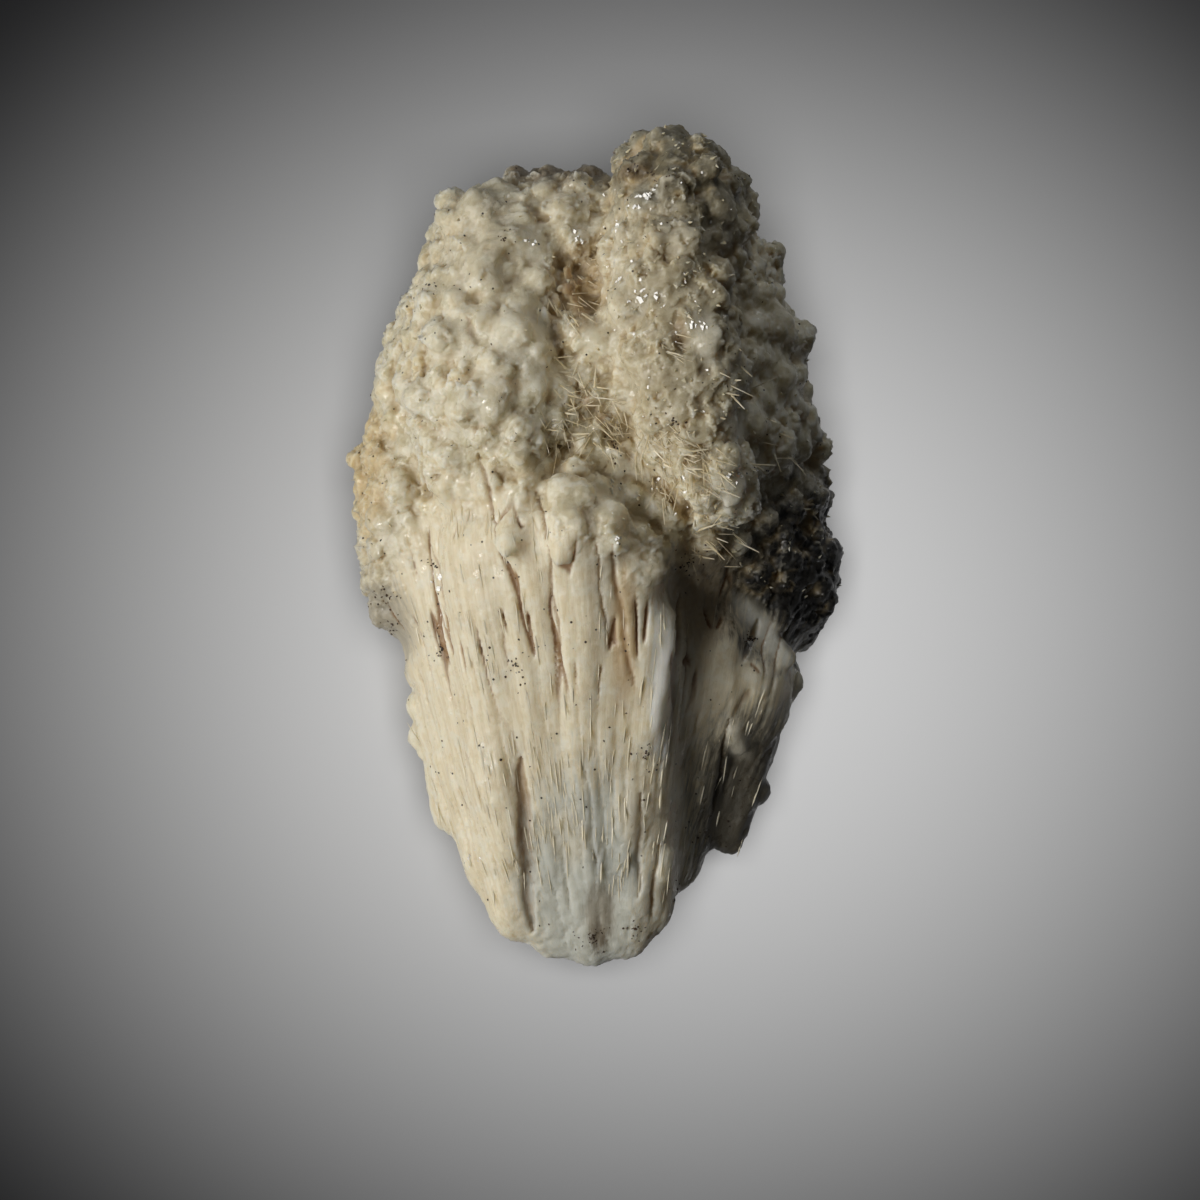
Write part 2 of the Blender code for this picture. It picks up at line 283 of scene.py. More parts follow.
class Heap:
    """Closed shapes gathered as triangles, in metres, to be made one mesh."""

    def __init__(self) -> None:
        """Starts empty."""
        self.points: list[np.ndarray] = []
        self.triangles: list[np.ndarray] = []
        self.count = 0

    def add(self, points: np.ndarray, triangles: np.ndarray) -> None:
        """Adds one closed shape by its points and triangles."""
        self.points.append(points)
        self.triangles.append(triangles + self.count)
        self.count += len(points)

    def add_ball(self, place: Matrix, detail: int = 3) -> None:
        """Adds a unit ball, put in place by a matrix that may stretch it."""
        points, triangles = ball(detail)
        turn = np.array(place)
        self.add(points @ turn[:3, :3].T + turn[:3, 3], triangles)

    def add_tube(
        self,
        path: Sequence[Vector],
        radii: Sequence[float],
        sides: int = 10,
        flatness: float = 1.0,
        facing: Vector | None = None,
    ) -> None:
        """Adds a closed tube.

        Args:
            path: The tube's middle line.
            radii: Its radius at each point of the path.
            sides: How many sides it has.
            flatness: Its thickness as a share of its width.
            facing: The direction that a flat tube's thin way turns to, if it matters.
        """
        steps = len(path)
        line = np.array(path)
        along = np.gradient(line, axis=0)
        along /= np.linalg.norm(along, axis=1)[:, None] + 1e-12
        guide = np.array(facing) if facing is not None else np.array((0.31, 0.11, 0.94))
        side = np.cross(along, guide)
        side /= np.linalg.norm(side, axis=1)[:, None] + 1e-12
        over = np.cross(side, along)
        angles = np.arange(sides) * math.tau / sides
        ring = (
            side[:, None, :] * np.cos(angles)[None, :, None]
            + over[:, None, :] * (np.sin(angles) * flatness)[None, :, None]
        )
        rings = line[:, None, :] + ring * np.array(radii)[:, None, None]
        points = np.concatenate([rings.reshape(-1, 3), line[:1], line[-1:]])
        step, turn = np.meshgrid(np.arange(steps - 1), np.arange(sides), indexing="ij")
        a = (step * sides + turn).ravel()
        b = (step * sides + (turn + 1) % sides).ravel()
        first, last = steps * sides, steps * sides + 1
        turn = np.arange(sides)
        after = (turn + 1) % sides
        end = (steps - 1) * sides
        triangles = np.concatenate(
            [
                np.stack([a, b, b + sides], axis=1),
                np.stack([a, b + sides, a + sides], axis=1),
                np.stack([after, turn, np.full(sides, first)], axis=1),
                np.stack([end + turn, end + after, np.full(sides, last)], axis=1),
            ]
        )
        self.add(points, triangles)

    def mesh(self, name: str) -> bpy.types.Mesh:
        """Returns the shapes as one mesh."""
        mesh = bpy.data.meshes.new(name)
        mesh.from_pydata(np.concatenate(self.points), [], np.concatenate(self.triangles))
        return mesh


_BALLS: dict[int, tuple[np.ndarray, np.ndarray]] = {}


def ball(detail: int) -> tuple[np.ndarray, np.ndarray]:
    """Returns the points and triangles of a unit ball."""
    if detail not in _BALLS:
        bm = bmesh.new()
        bmesh.ops.create_icosphere(bm, subdivisions=detail, radius=1.0)
        points = np.array([vert.co for vert in bm.verts])
        triangles = np.array([[vert.index for vert in face.verts] for face in bm.faces])
        bm.free()
        _BALLS[detail] = (points, triangles)
    return _BALLS[detail]


class Crowd:
    """Points that keep their distance from each other."""

    def __init__(self, reach: float) -> None:
        """Starts empty, with the largest distance that will be asked for."""
        self.reach = reach
        self.cells: dict[tuple[int, int, int], list[Vector]] = {}

    def admits(self, point: Vector, spacing: float) -> bool:
        """Takes a point in if none is nearer than the spacing.

        Args:
            point: The new point.
            spacing: The least distance to the others.

        Returns:
            Whether it was taken in.
        """
        x, y, z = (int(math.floor(c / self.reach)) for c in point)
        for i in (x - 1, x, x + 1):
            for j in (y - 1, y, y + 1):
                for k in (z - 1, z, z + 1):
                    for other in self.cells.get((i, j, k), ()):
                        if (point - other).length < spacing:
                            return False
        self.cells.setdefault((x, y, z), []).append(point)
        return True


@dataclass(frozen=True)
class Lobe:
    """An ellipsoid of the mass, in millimetres, leaning about Z by degrees."""

    centre: Triple
    half_axes: Triple
    lean: float = 0.0

    def add_to(self, heap: Heap, detail: int = 3) -> None:
        """Adds the ellipsoid to a heap."""
        place = (
            Matrix.Translation(Vector(self.centre) * MM)
            @ Matrix.Rotation(math.radians(self.lean), 4, "Z")
            @ Matrix.Diagonal((*(Vector(self.half_axes) * MM), 1.0))
        )
        heap.add_ball(place, detail)


@dataclass(frozen=True)
class Bundle:
    """A tapering fibre bundle between two points, in millimetres, with round ends."""

    foot: Triple
    head: Triple
    foot_radius: float
    head_radius: float

    def add_to(self, heap: Heap, stations: int = 9, sides: int = 12) -> None:
        """Adds the bundle to a heap."""
        start, end = Vector(self.foot) * MM, Vector(self.head) * MM
        axis = (end - start).normalized()
        start -= axis * self.foot_radius * MM
        end += axis * self.head_radius * MM
        points, radii = [], []
        for index in range(stations):
            share = 0.5 - 0.5 * math.cos(math.pi * (index + 0.5) / stations)
            radius = (self.foot_radius + (self.head_radius - self.foot_radius) * share) * MM
            reach = min(share, 1 - share) * (end - start).length
            bulge = min(reach / radius, 1.0)
            points.append(start.lerp(end, share))
            radii.append(radius * math.sqrt(1 - (1 - bulge) ** 2))
        heap.add_tube(points, radii, sides)


@dataclass(frozen=True)
class KnobZone:
    """How knobs are spread: least distance between them and range of radius, in millimetres."""

    spacing: float
    radius: tuple[float, float]


@dataclass(frozen=True)
class Knob:
    """A rounded lump on the surface, with its place as a matrix that carries its size."""

    place: Matrix

    def add_to(self, heap: Heap, detail: int = 3) -> None:
        """Adds the knob to a heap."""
        heap.add_ball(self.place, detail)


@dataclass(frozen=True)
class Feature:
    """A lump set on the front, in millimetres, leaning from Y by degrees.

    A calm lump is smooth, milky and little touched by the fine relief.
    """

    name: str
    spot: tuple[float, float]
    half_sizes: Triple
    lean: float = 0.0
    calm: float = 0.0


@dataclass(frozen=True)
class Ledge:
    """A flat ledge with cut corners on the front, in millimetres, leaning by degrees."""

    spot: tuple[float, float]
    half_sizes: Triple
    lean: float
    corner: float = 0.45

    def add_to(self, heap: Heap, place: Matrix) -> None:
        """Adds the ledge to a heap, on the surface frame that carries it."""
        bm = bmesh.new()
        stretch = Matrix.Diagonal((*(Vector(self.half_sizes) * MM), 1.0))
        bmesh.ops.create_cube(bm, size=2.0, matrix=place @ stretch)
        bmesh.ops.bevel(bm, geom=bm.edges, offset=self.corner * MM, segments=1, affect="EDGES")
        bmesh.ops.triangulate(bm, faces=bm.faces)
        points = np.array([vert.co for vert in bm.verts])
        triangles = np.array([[vert.index for vert in face.verts] for face in bm.faces])
        bm.free()
        heap.add(points, triangles)


@dataclass(frozen=True)
class Cut:
    """A slit or crevice set on the front: its ends, half-width and depth, in millimetres."""

    start: tuple[float, float]
    end: tuple[float, float]
    half_width: float
    depth: float

    def depth_at(self, x: np.ndarray, y: np.ndarray) -> np.ndarray:
        """How deep the cut is at places in millimetres; it tapers to its ends and wavers a little."""
        run = np.array(self.end) - np.array(self.start)
        long = math.hypot(*run)
        along = ((x - self.start[0]) * run[0] + (y - self.start[1]) * run[1]) / long
        across = ((x - self.start[0]) * run[1] - (y - self.start[1]) * run[0]) / long
        share = np.clip(along / long, 0, 1)
        wide = self.half_width * np.sqrt(1 - (2 * share - 1) ** 2) + 1e-3
        waver = 0.14 * np.sin(along * 0.8 + self.start[0]) + 0.04 * np.sin(along * 2.9)
        outside = np.maximum(np.abs(along - long / 2) - long / 2, 0)
        far = np.hypot(across + waver, outside) / wide
        return self.depth * np.clip(1 - far**2, 0, 1)


@dataclass
class Mass:
    """The specimen's form: lobes and fibre bundles, with lumps, knobs and ribs on them."""

    centring: Triple = (0.22, -0.08, 0.0)
    fan_origin: Triple = (0.5, -92.0, 9.0)
    guide_voxel: float = 1.0
    seed: int = 11
    lobes: tuple[Lobe, ...] = (
        Lobe((-2.0, -29.0, 7.5), (14.0, 18.5, 12.0)),
        Lobe((-2.0, -12.0, 9.0), (19.5, 21.0, 17.0)),
        Lobe((0.0, 8.0, 10.0), (24.5, 21.0, 18.0)),
        Lobe((-1.0, 25.0, 10.0), (19.0, 17.0, 15.0)),
        Lobe((-4.6, 36.4, 17.0), (11.6, 8.8, 8.5)),
        Lobe((-1.0, 21.0, 15.5), (9.0, 19.0, 13.2)),
        Lobe((-12.0, 18.0, 19.0), (11.6, 20.0, 13.0), 6),
        Lobe((-11.4, 34.2, 17.5), (9.1, 9.5, 10.5), -12),
        Lobe((-18.4, 22.2, 14.0), (7.2, 15.0, 10.0), -20),
        Lobe((-20.8, 4.8, 13.0), (7.8, 16.6, 10.0)),
        Lobe((-22.9, -4.4, 11.5), (4.9, 6.7, 7.5), 4),
        Lobe((9.0, 25.0, 22.5), (8.0, 20.5, 14.5), 9),
        Lobe((9.6, 38.6, 21.0), (8.0, 9.9, 12.0), 6),
        Lobe((12.4, 10.2, 24.5), (5.4, 7.2, 9.5), 20),
        Lobe((15.4, 23.0, 14.5), (8.6, 18.4, 12.5), 13),
        Lobe((17.8, 3.8, 9.6), (9.4, 17.8, 9.4)),
        Lobe((22.0, -3.8, 9.0), (5.9, 8.0, 7.2), -8),
        Lobe((17.2, -16.6, 9.5), (6.4, 8.6, 8.6), -14),
    )
    bundles: tuple[Bundle, ...] = (
        Bundle((-19.0, -33.2, 10.5), (-19.8, -10.0, 13.5), 1.6, 3.8),
        Bundle((-14.1, -39.9, 11.5), (-17.6, -4.0, 18.0), 2.2, 5.6),
        Bundle((-10.3, -44.4, 12.5), (-13.0, 0.0, 23.5), 3.2, 6.6),
        Bundle((-5.8, -46.8, 11.5), (-8.0, 2.0, 26.5), 3.1, 6.2),
        Bundle((-1.2, -47.6, 12.0), (-2.4, 2.0, 28.0), 3.2, 6.0),
        Bundle((3.4, -46.8, 12.5), (3.0, -2.0, 26.5), 3.0, 5.0),
        Bundle((6.4, -44.0, 13.0), (5.8, -8.0, 25.5), 2.7, 3.4),
        Bundle((9.2, -39.0, 9.5), (13.4, -11.0, 16.0), 2.9, 5.2),
        Bundle((15.9, -36.0, 9.0), (19.3, -16.0, 12.5), 1.7, 4.9),
        Bundle((-2.6, -44.0, 7.5), (-4.0, -14.0, 9.0), 5.2, 10.0),
        Bundle((4.4, -38.0, 7.5), (7.6, -14.0, 9.0), 4.4, 8.6),
    )
    crust_edge: tuple[tuple[float, float], ...] = (
        (-40.0, -9.0),
        (-27.0, -9.0),
        (-23.5, 1.0),
        (-20.0, 6.0),
        (-14.0, 8.0),
        (-8.0, 6.0),
        (-3.0, 3.0),
        (4.0, -0.5),
        (10.0, -0.5),
        (15.0, 1.0),
        (18.0, -6.0),
        (40.0, -12.0),
    )
    crust_fade: tuple[float, float] = (-3.0, 3.0)
    lump_zone: KnobZone = KnobZone(7.5, (2.6, 4.2))
    crust_zone: KnobZone = KnobZone(3.2, (1.5, 2.8))
    back_zone: KnobZone = KnobZone(5.0, (1.6, 3.0))
    bud_zone: KnobZone = KnobZone(2.4, (0.7, 1.7))
    knob_voxel: float = 0.5
    knob_smoothing: int = 3
    lump_tries: int = 1200
    knob_tries: int = 12000
    bud_tries: int = 7000
    aim_y: tuple[float, float] = (-44.0, 38.0)
    aim_z: float = 13.0
    lump_sink: float = 0.68
    knob_rise: float = 0.95
    knob_sink: float = 0.42
    bud_sink: float = 0.7
    back_facing: float = -0.35
    back_height: float = 3.5
    back_reach: float = -30.0
    outline_knobs: tuple[tuple[Triple, float], ...] = (
        ((3.2, 46.2, 22.0), 1.8),
        ((5.4, 47.9, 23.0), 1.6),
        ((8.6, 48.4, 24.0), 1.7),
        ((12.6, 46.8, 21.0), 1.6),
        ((14.6, 43.8, 19.0), 1.7),
        ((-10.0, 44.6, 17.0), 1.6),
        ((-13.2, 42.3, 18.0), 1.6),
        ((-19.4, 37.6, 16.0), 1.6),
        ((20.4, 35.4, 16.0), 1.6),
        ((24.0, 25.6, 15.0), 2.0),
        ((26.2, 12.6, 14.0), 1.9),
        ((27.6, -5.9, 11.0), 1.4),
        ((23.2, -15.8, 11.0), 1.6),
        ((-21.7, -18.6, 12.0), 1.8),
        ((-28.4, 11.4, 13.0), 1.8),
    )
    features: tuple["Feature", ...] = (
        Feature("top_finger", (-8.0, 41.8), (1.2, 2.5, 1.6), -25),
        Feature("rim_knob", (-12.0, 41.8), (2.4, 1.3, 1.6), 0),
        Feature("rim_ball", (-15.8, 39.2), (1.8, 1.8, 1.8), 0),
        Feature("white_oval", (-7.8, 35.4), (1.3, 1.8, 1.5), 20, 1.0),
        Feature("smooth_lump", (-9.4, 24.6), (3.4, 2.8, 2.2), 10, 0.8),
        Feature("left_lump", (-17.9, 24.8), (2.4, 2.8, 2.0), -15, 0.5),
        Feature("upper_lump", (-13.6, 32.0), (2.6, 2.2, 1.8), 30, 0.4),
        Feature("hollow_ball", (-0.4, 24.1), (1.8, 1.8, 1.9), 0, 0.8),
        Feature("crown_left", (4.6, 43.6), (2.0, 2.4, 2.0), 10),
        Feature("crown_middle", (7.4, 46.6), (2.2, 1.9, 2.0), -15),
        Feature("crown_right", (12.4, 43.6), (2.1, 2.0, 1.8), 20),
        Feature("crown_knob", (2.2, 42.2), (1.8, 1.5, 1.7), 0),
        Feature("ridge_lump", (9.0, 35.6), (2.0, 2.4, 1.8), 15, 0.4),
        Feature("ridge_side", (2.4, 27.6), (2.0, 1.6, 1.8), -20, 0.4),
        Feature("low_lobe_lump", (-20.6, 17.6), (2.6, 2.2, 1.8), 25, 0.5),
        Feature("lobe_shoulder", (-13.8, 17.8), (2.2, 2.6, 1.7), -10, 0.5),
        Feature("lobe_corner", (-19.6, 29.0), (2.2, 2.0, 1.8), 0, 0.3),
        Feature("crest_ball", (6.6, 31.6), (1.8, 1.7, 1.8), 0),
        Feature("crest_tip", (5.4, 40.4), (1.7, 1.6, 2.0), 0, 0.4),
        Feature("long_white_knob", (12.2, 24.0), (1.4, 3.2, 2.0), 18, 1.0),
        Feature("crest_foot", (14.6, 7.4), (2.2, 1.6, 1.9), -10, 0.9),
        Feature("flank_ball", (16.9, 14.7), (1.7, 1.7, 1.7), 0, 0.5),
        Feature("flank_knob", (21.4, 13.6), (1.9, 1.7, 1.7), 0),
        Feature("fringe_ball", (1.4, 6.4), (1.9, 1.8, 2.0), 0, 0.7),
        Feature("fringe_middle", (4.4, 5.2), (1.5, 1.7, 1.8), 0, 0.5),
        Feature("fringe_right", (7.0, 4.6), (1.4, 1.6, 1.7), 0),
        Feature("fringe_drop", (2.1, 1.4), (1.1, 1.8, 1.3), 0),
        Feature("pillar_left", (-17.2, 6.0), (2.2, 6.5, 1.3), 5),
        Feature("pillar_middle", (-10.4, 4.5), (2.2, 7.0, 1.2), 6),
        Feature("pillar_right", (-4.4, 3.0), (2.0, 6.0, 1.1), 3),
        Feature("edge_plate", (4.4, -31.0), (2.2, 5.0, 1.2), -4),
        Feature("low_left_plate", (-12.6, -30.0), (2.8, 8.5, 1.3), 12),
        Feature("low_right_plate", (4.6, -41.6), (1.7, 4.0, 1.1), -3),
        Feature("sparkling_corner", (-15.6, -37.4), (1.5, 1.8, 1.4), 20),
        Feature("shaded_crystal", (14.2, -16.1), (0.8, 2.2, 1.0), -14, 0.6),
        Feature("white_blade", (7.5, -15.0), (1.2, 9.0, 1.3), -3, 0.9),
        Feature("shaded_knob", (18.4, -14.2), (1.9, 2.0, 1.2), 0, 0.5),
    )
    feature_sink: float = 0.3
    calm_margin: float = 0.5
    ledges: tuple["Ledge", ...] = (
        Ledge((19.4, -9.6), (1.5, 5.6, 0.8), 38),
        Ledge((16.4, -22.4), (1.0, 2.2, 0.9), 22),
        Ledge((7.9, -37.4), (1.0, 2.2, 0.5), 0),
        Ledge((-5.2, -32.2), (0.25, 3.0, 0.3), -54, 0.15),
    )
    cuts: tuple[Cut, ...] = (
        Cut((-14.2, 11.4), (-12, 3), 0.38, 0.41),
        Cut((-20.9, 10.9), (-20.2, 6.2), 0.27, 0.27),
        Cut((-19.9, 0.9), (-18.1, -6.8), 0.22, 0.27),
        Cut((-7.4, 6.9), (-6.2, 1), 0.27, 0.35),
        Cut((-6.2, 0.7), (-4.3, -14.2), 0.30, 0.35),
        Cut((-11.9, -7.6), (-10.6, -13.6), 0.22, 0.27),
        Cut((-0.6, 1.4), (0.8, -10.6), 0.24, 0.29),
        Cut((1.2, 0.7), (3.9, -16.5), 0.49, 0.32),
        Cut((9.3, -5), (8.3, -24), 0.30, 0.55),
        Cut((-9.4, -24.4), (-8.2, -46), 1.10, 0.60),
        Cut((-1.6, -25.9), (-0.4, -39.2), 0.26, 0.25),
        Cut((-4.6, -34), (-3.8, -43), 0.26, 0.21),
        Cut((4.9, -28.6), (4.5, -41.5), 0.38, 0.46),
        Cut((7, -34.9), (6, -44), 0.34, 0.38),
        Cut((-16.4, -22), (-14, -31), 0.22, 0.17),
        Cut((15.4, -20), (13.6, -32), 0.30, 0.38),
        Cut((18.9, -8), (17.2, -13), 0.48, 0.67),
        Cut((8.6, 27.2), (9.6, 22.4), 1.15, 0.55),
        Cut((11.2, 20.6), (13, 20.2), 1.15, 0.46),
        Cut((-2.8, 33.8), (-1, 27.4), 1.90, 1.30),
        Cut((-8.4, 40), (-6, 38.6), 0.92, 0.42),
        Cut((-15.4, 27), (-14, 23.4), 0.69, 0.34),
        Cut((-6, 29.6), (-4.4, 22), 0.92, 0.42),
        Cut((3.4, 44.2), (5.2, 43.4), 0.92, 0.34),
        Cut((-2.4, 19), (3.8, 10.6), 1.38, 0.50),
        Cut((6.2, 8.4), (11, 3.6), 1.03, 0.50),
    )
    rib_sides: tuple[tuple[Side, float, float], ...] = (
        (Side.FRONT, 25.0, 0.78),
        (Side.LEFT, 14.0, 0.75),
        (Side.RIGHT, 14.0, 0.75),
        (Side.BACK, 22.0, 0.6),
    )
    rib_gap: tuple[float, float] = (2.2, 4.6)
    rib_radius: tuple[float, float] = (0.6, 1.9)
    rib_top: float = 12.0
    rib_length: float = 62.0
    rib_step: float = 3.6
    rib_wobble: float = 0.5
    rib_facing: float = 0.5
    rib_jump: float = 2.6

    def crust_depth(self, points: np.ndarray) -> np.ndarray:
        """How far points are inside the crust, in millimetres; negative on the fibres.

        Args:
            points: Points in metres, one row each.

        Returns:
            One depth a point.
        """
        across, edge = zip(*self.crust_edge)
        return points[:, 1] / MM - np.interp(points[:, 0] / MM, across, edge)

    def _depth_of(self, point: Vector) -> float:
        """The crust depth of one point in metres."""
        return float(self.crust_depth(np.array([point]))[0])

    def cut_depth(self, points: np.ndarray) -> np.ndarray:
        """How deep the cuts are at points, in millimetres.

        Args:
            points: Points in metres, one row each.

        Returns:
            One depth a point, 0 where there is none.
        """
        x, y, z = points.T / MM
        depths = [cut.depth_at(x, y) for cut in self.cuts]
        return np.max(depths, axis=0) * (z > self.aim_z)

    def calmness(self, points: np.ndarray) -> np.ndarray:
        """How much points belong to a calm lump.

        Args:
            points: Points in metres, one row each.

        Returns:
            One number a point, 0 to 1.
        """
        calm = np.zeros(len(points))
        slabs = [Feature("ledge", ledge.spot, ledge.half_sizes, ledge.lean, 0.8) for ledge in self.ledges]
        for feature in (*self.features, *slabs):
            if not feature.calm:
                continue
            turn = math.radians(feature.lean)
            x, y = (points[:, :2] / MM - feature.spot).T
            across = x * math.cos(turn) + y * math.sin(turn)
            along = y * math.cos(turn) - x * math.sin(turn)
            wide, long, _ = feature.half_sizes
            far = np.hypot(across / (wide + self.calm_margin), along / (long + self.calm_margin))
            near = np.clip((1.15 - far) / 0.45, 0, 1) * feature.calm
            calm = np.maximum(calm, near * (points[:, 2] > self.aim_z * MM))
        return calm

    def body_shapes(self) -> Heap:
        """Returns the lobes and bundles as closed shapes."""
        heap = Heap()
        for shape in (*self.lobes, *self.bundles):
            shape.add_to(heap)
        return heap

    def place_on(self, spot: tuple[float, float], lean: float) -> Matrix:
        """Finds a surface frame on the front.

        Args:
            spot: X and Y in millimetres.
            lean: Degrees that its Y leans from the specimen's.

        Returns:
            Its matrix, with Z along the normal.
        """
        hit, normal, _, _ = self.tree.ray_cast(Vector((*spot, 0)) * MM + UP * FAR, -UP)
        turn = math.radians(lean)
        along = Vector((-math.sin(turn), math.cos(turn), 0))
        along = (along - normal * along.dot(normal)).normalized()
        frame = Matrix((along.cross(normal), along, normal)).transposed()
        return Matrix.Translation(hit) @ frame.to_4x4()

    def _feature_knobs(self) -> list[Knob]:
        """Sets the lumps that are listed one by one."""
        knobs = []
        for feature in self.features:
            sizes = Vector(feature.half_sizes) * MM
            sink = Matrix.Translation((0, 0, -sizes.z * self.feature_sink))
            frame = self.place_on(feature.spot, feature.lean)
            knobs.append(Knob(frame @ sink @ Matrix.Diagonal((*sizes, 1.0))))
        return knobs

    def _knobs_on(
        self, rng: random.Random, tries: int, crust: KnobZone, back: KnobZone, sink: float
    ) -> list[Knob]:
        """Spreads knobs over the body in hand.

        Args:
            rng: The source of chance, used in a fixed order.
            tries: How many places are tried.
            crust: The spread on the crust.
            back: The spread on the back.
            sink: How far a knob sinks, as a share of its size.

        Returns:
            The knobs.
        """
        knobs = []
        crowd = Crowd(max(crust.spacing, back.spacing) * MM)
        for _ in range(tries):
            aim = Vector((0, rng.uniform(*self.aim_y) * MM, self.aim_z * MM))
            turn = rng.uniform(0, math.tau)
            rise = rng.uniform(-1, 1)
            across = math.sqrt(1 - rise * rise)
            outward = Vector((math.cos(turn) * across, rise, math.sin(turn) * across))
            share, edge = rng.random(), rng.uniform(*self.crust_fade)
            spin, squash = rng.uniform(0, math.tau), rng.uniform(0.72, 1.0)
            point, normal, _, _ = self.tree.ray_cast(aim + outward * FAR, -outward)
            if point is None:
                continue
            behind = normal.z < self.back_facing or point.z < self.back_height * MM
            zone = back if behind else crust
            depth = self._depth_of(point)
            if depth < (self.back_reach if behind else edge):
                continue
            if not crowd.admits(point, zone.spacing * MM):
                continue
            low, high = zone.radius
            size = (low + (high - low) * share) * MM
            place = (
                Matrix.Translation(point - normal * size * sink)
                @ normal.to_track_quat("Z", "Y").to_matrix().to_4x4()
                @ Matrix.Rotation(spin, 4, "Z")
                @ Matrix.Diagonal((size * squash, size * (2.0 - squash), size * self.knob_rise, 1.0))
            )
            knobs.append(Knob(place))
        return knobs

    def _surface_of(self, mesh: bpy.types.Mesh) -> None:
        """Takes a mesh as the body in hand."""
        points, triangles = triangles_of(mesh)
        self.tree = BVHTree.FromPolygons(points.tolist(), triangles.tolist())

    def grow(self) -> Heap:
        """Sets lumps, ledges, ribs, knobs and buds on the mass.

        Returns:
            All of it as closed shapes.
        """
        rng = random.Random(self.seed)
        plain = fused(self.body_shapes(), self.guide_voxel, smoothing=3)
        self._surface_of(plain)
        heap = Heap()
        heap.add(*triangles_of(plain))
        lumps = self._knobs_on(
            rng, self.lump_tries, self.lump_zone, self.lump_zone, self.lump_sink
        )
        features = self._feature_knobs()
        for lump in (*lumps, *features):
            lump.add_to(heap)
        guide = fused(heap, self.guide_voxel, smoothing=1)
        self._surface_of(guide)
        shapes = Heap()
        shapes.add(*triangles_of(guide))
        for centre, radius in self.outline_knobs:
            Lobe(centre, (radius, radius, radius)).add_to(shapes)
        knobs = self._knobs_on(
            rng, self.knob_tries, self.crust_zone, self.back_zone, self.knob_sink
        )
        for knob in knobs:
            knob.add_to(shapes)
        soft = fused(shapes, self.knob_voxel, self.knob_smoothing)
        shapes = Heap()
        shapes.add(*triangles_of(soft))
        self.add_ribs(shapes)
        self._surface_of(soft)
        for ledge in self.ledges:
            ledge.add_to(shapes, self.place_on(ledge.spot, ledge.lean))
        buds = self._knobs_on(rng, self.bud_tries, self.bud_zone, self.back_zone, self.bud_sink)
        for bud in buds:
            bud.add_to(shapes)
        LOG.info("mass: %d lumps, %d knobs, %d buds", len(lumps), len(knobs), len(buds))
        return shapes

    def _rib_paths(
        self, rng: random.Random, side: Side, angle: float, depth: float
    ) -> Iterator[list[Vector]]:
        """Follows the surface along one fibre direction, seen from a side.

        Args:
            rng: The source of chance.
            side: The side it is seen from.
            angle: The direction's angle from Y.
            depth: How far below the surface the path runs.

        Yields:
            Paths, broken where the surface steps, turns away or goes under the crust.
        """
        outward = side.outward
        origin = Vector(self.fan_origin) * MM
        across = Vector((0, 1, 0)).cross(outward)
        ray = Vector((0, 1, 0)) * math.cos(angle) + across * math.sin(angle)
        reach = self.rib_top * MM - origin.y
        far = reach * rng.uniform(0.93, 1.06)
        distance = reach - self.rib_length * MM
        wobble = self.rib_wobble * MM
        path = []
        while distance < far:
            spot = origin + ray * distance + across * rng.uniform(-wobble, wobble)
            distance += self.rib_step * MM
            hit, normal, _, _ = self.tree.ray_cast(spot + outward * FAR, -outward)
            stays = (
                hit is not None
                and normal.dot(outward) > self.rib_facing
                and self._depth_of(hit) < 0
            )
            steps = stays and path and abs((hit - path[-1]).dot(outward)) > self.rib_jump * MM
            if path and (steps or not stays):
                yield path
                path = []
            if stays:
                path.append(hit - normal * depth)
        yield path

    def add_ribs(self, heap: Heap) -> None:
        """Adds the ribs, along the fan of the fibres."""
        rng = random.Random(self.seed + 1)
        reach = (self.rib_top - self.fan_origin[1]) * MM
        for side, half_width, sink in self.rib_sides:
            half_fan = math.atan2(half_width * MM, reach)
            angle = -half_fan
            while angle < half_fan:
                size = rng.uniform(*self.rib_radius) * MM
                for path in self._rib_paths(rng, side, angle, size * sink):
                    if len(path) < 4:
                        continue
                    radii = [size * rng.uniform(0.8, 1.2) for _ in path]
                    radii[0] = radii[-1] = size * 0.15
                    radii[1] = radii[-2] = size * 0.55
                    heap.add_tube(path, radii, sides=8)
                angle += rng.uniform(*self.rib_gap) * MM / reach


def fused(heap: Heap, voxel: float, smoothing: int = 0) -> bpy.types.Mesh:
    """Fuses closed shapes into one skin by a voxel remesh.

    Args:
        heap: The shapes.
        voxel: The voxel's size in millimetres.
        smoothing: Rounds of smoothing afterwards.

    Returns:
        The skin.
    """
    item = bpy.data.objects.new("shapes", heap.mesh("shapes"))
    remesh = item.modifiers.new("fuse", "REMESH")
    remesh.mode = "VOXEL"
    remesh.voxel_size = voxel * MM
    if smoothing:
        smooth = item.modifiers.new("soften", "SMOOTH")
        smooth.factor = 0.5
        smooth.iterations = smoothing
    return evaluated(item)


def evaluated(item: bpy.types.Object) -> bpy.types.Mesh:
    """Returns an unlinked object's evaluated mesh and removes the object with its own mesh."""
    bpy.context.scene.collection.objects.link(item)
    bpy.context.view_layer.update()
    graph = bpy.context.evaluated_depsgraph_get()
    result = bpy.data.meshes.new_from_object(item.evaluated_get(graph))
    source = item.data
    bpy.data.objects.remove(item)
    bpy.data.meshes.remove(source)
    return result


def points_of(mesh: bpy.types.Mesh) -> np.ndarray:
    """Returns a mesh's points, one row each."""
    points = np.empty(len(mesh.vertices) * 3)
    mesh.vertices.foreach_get("co", points)
    return points.reshape(-1, 3)


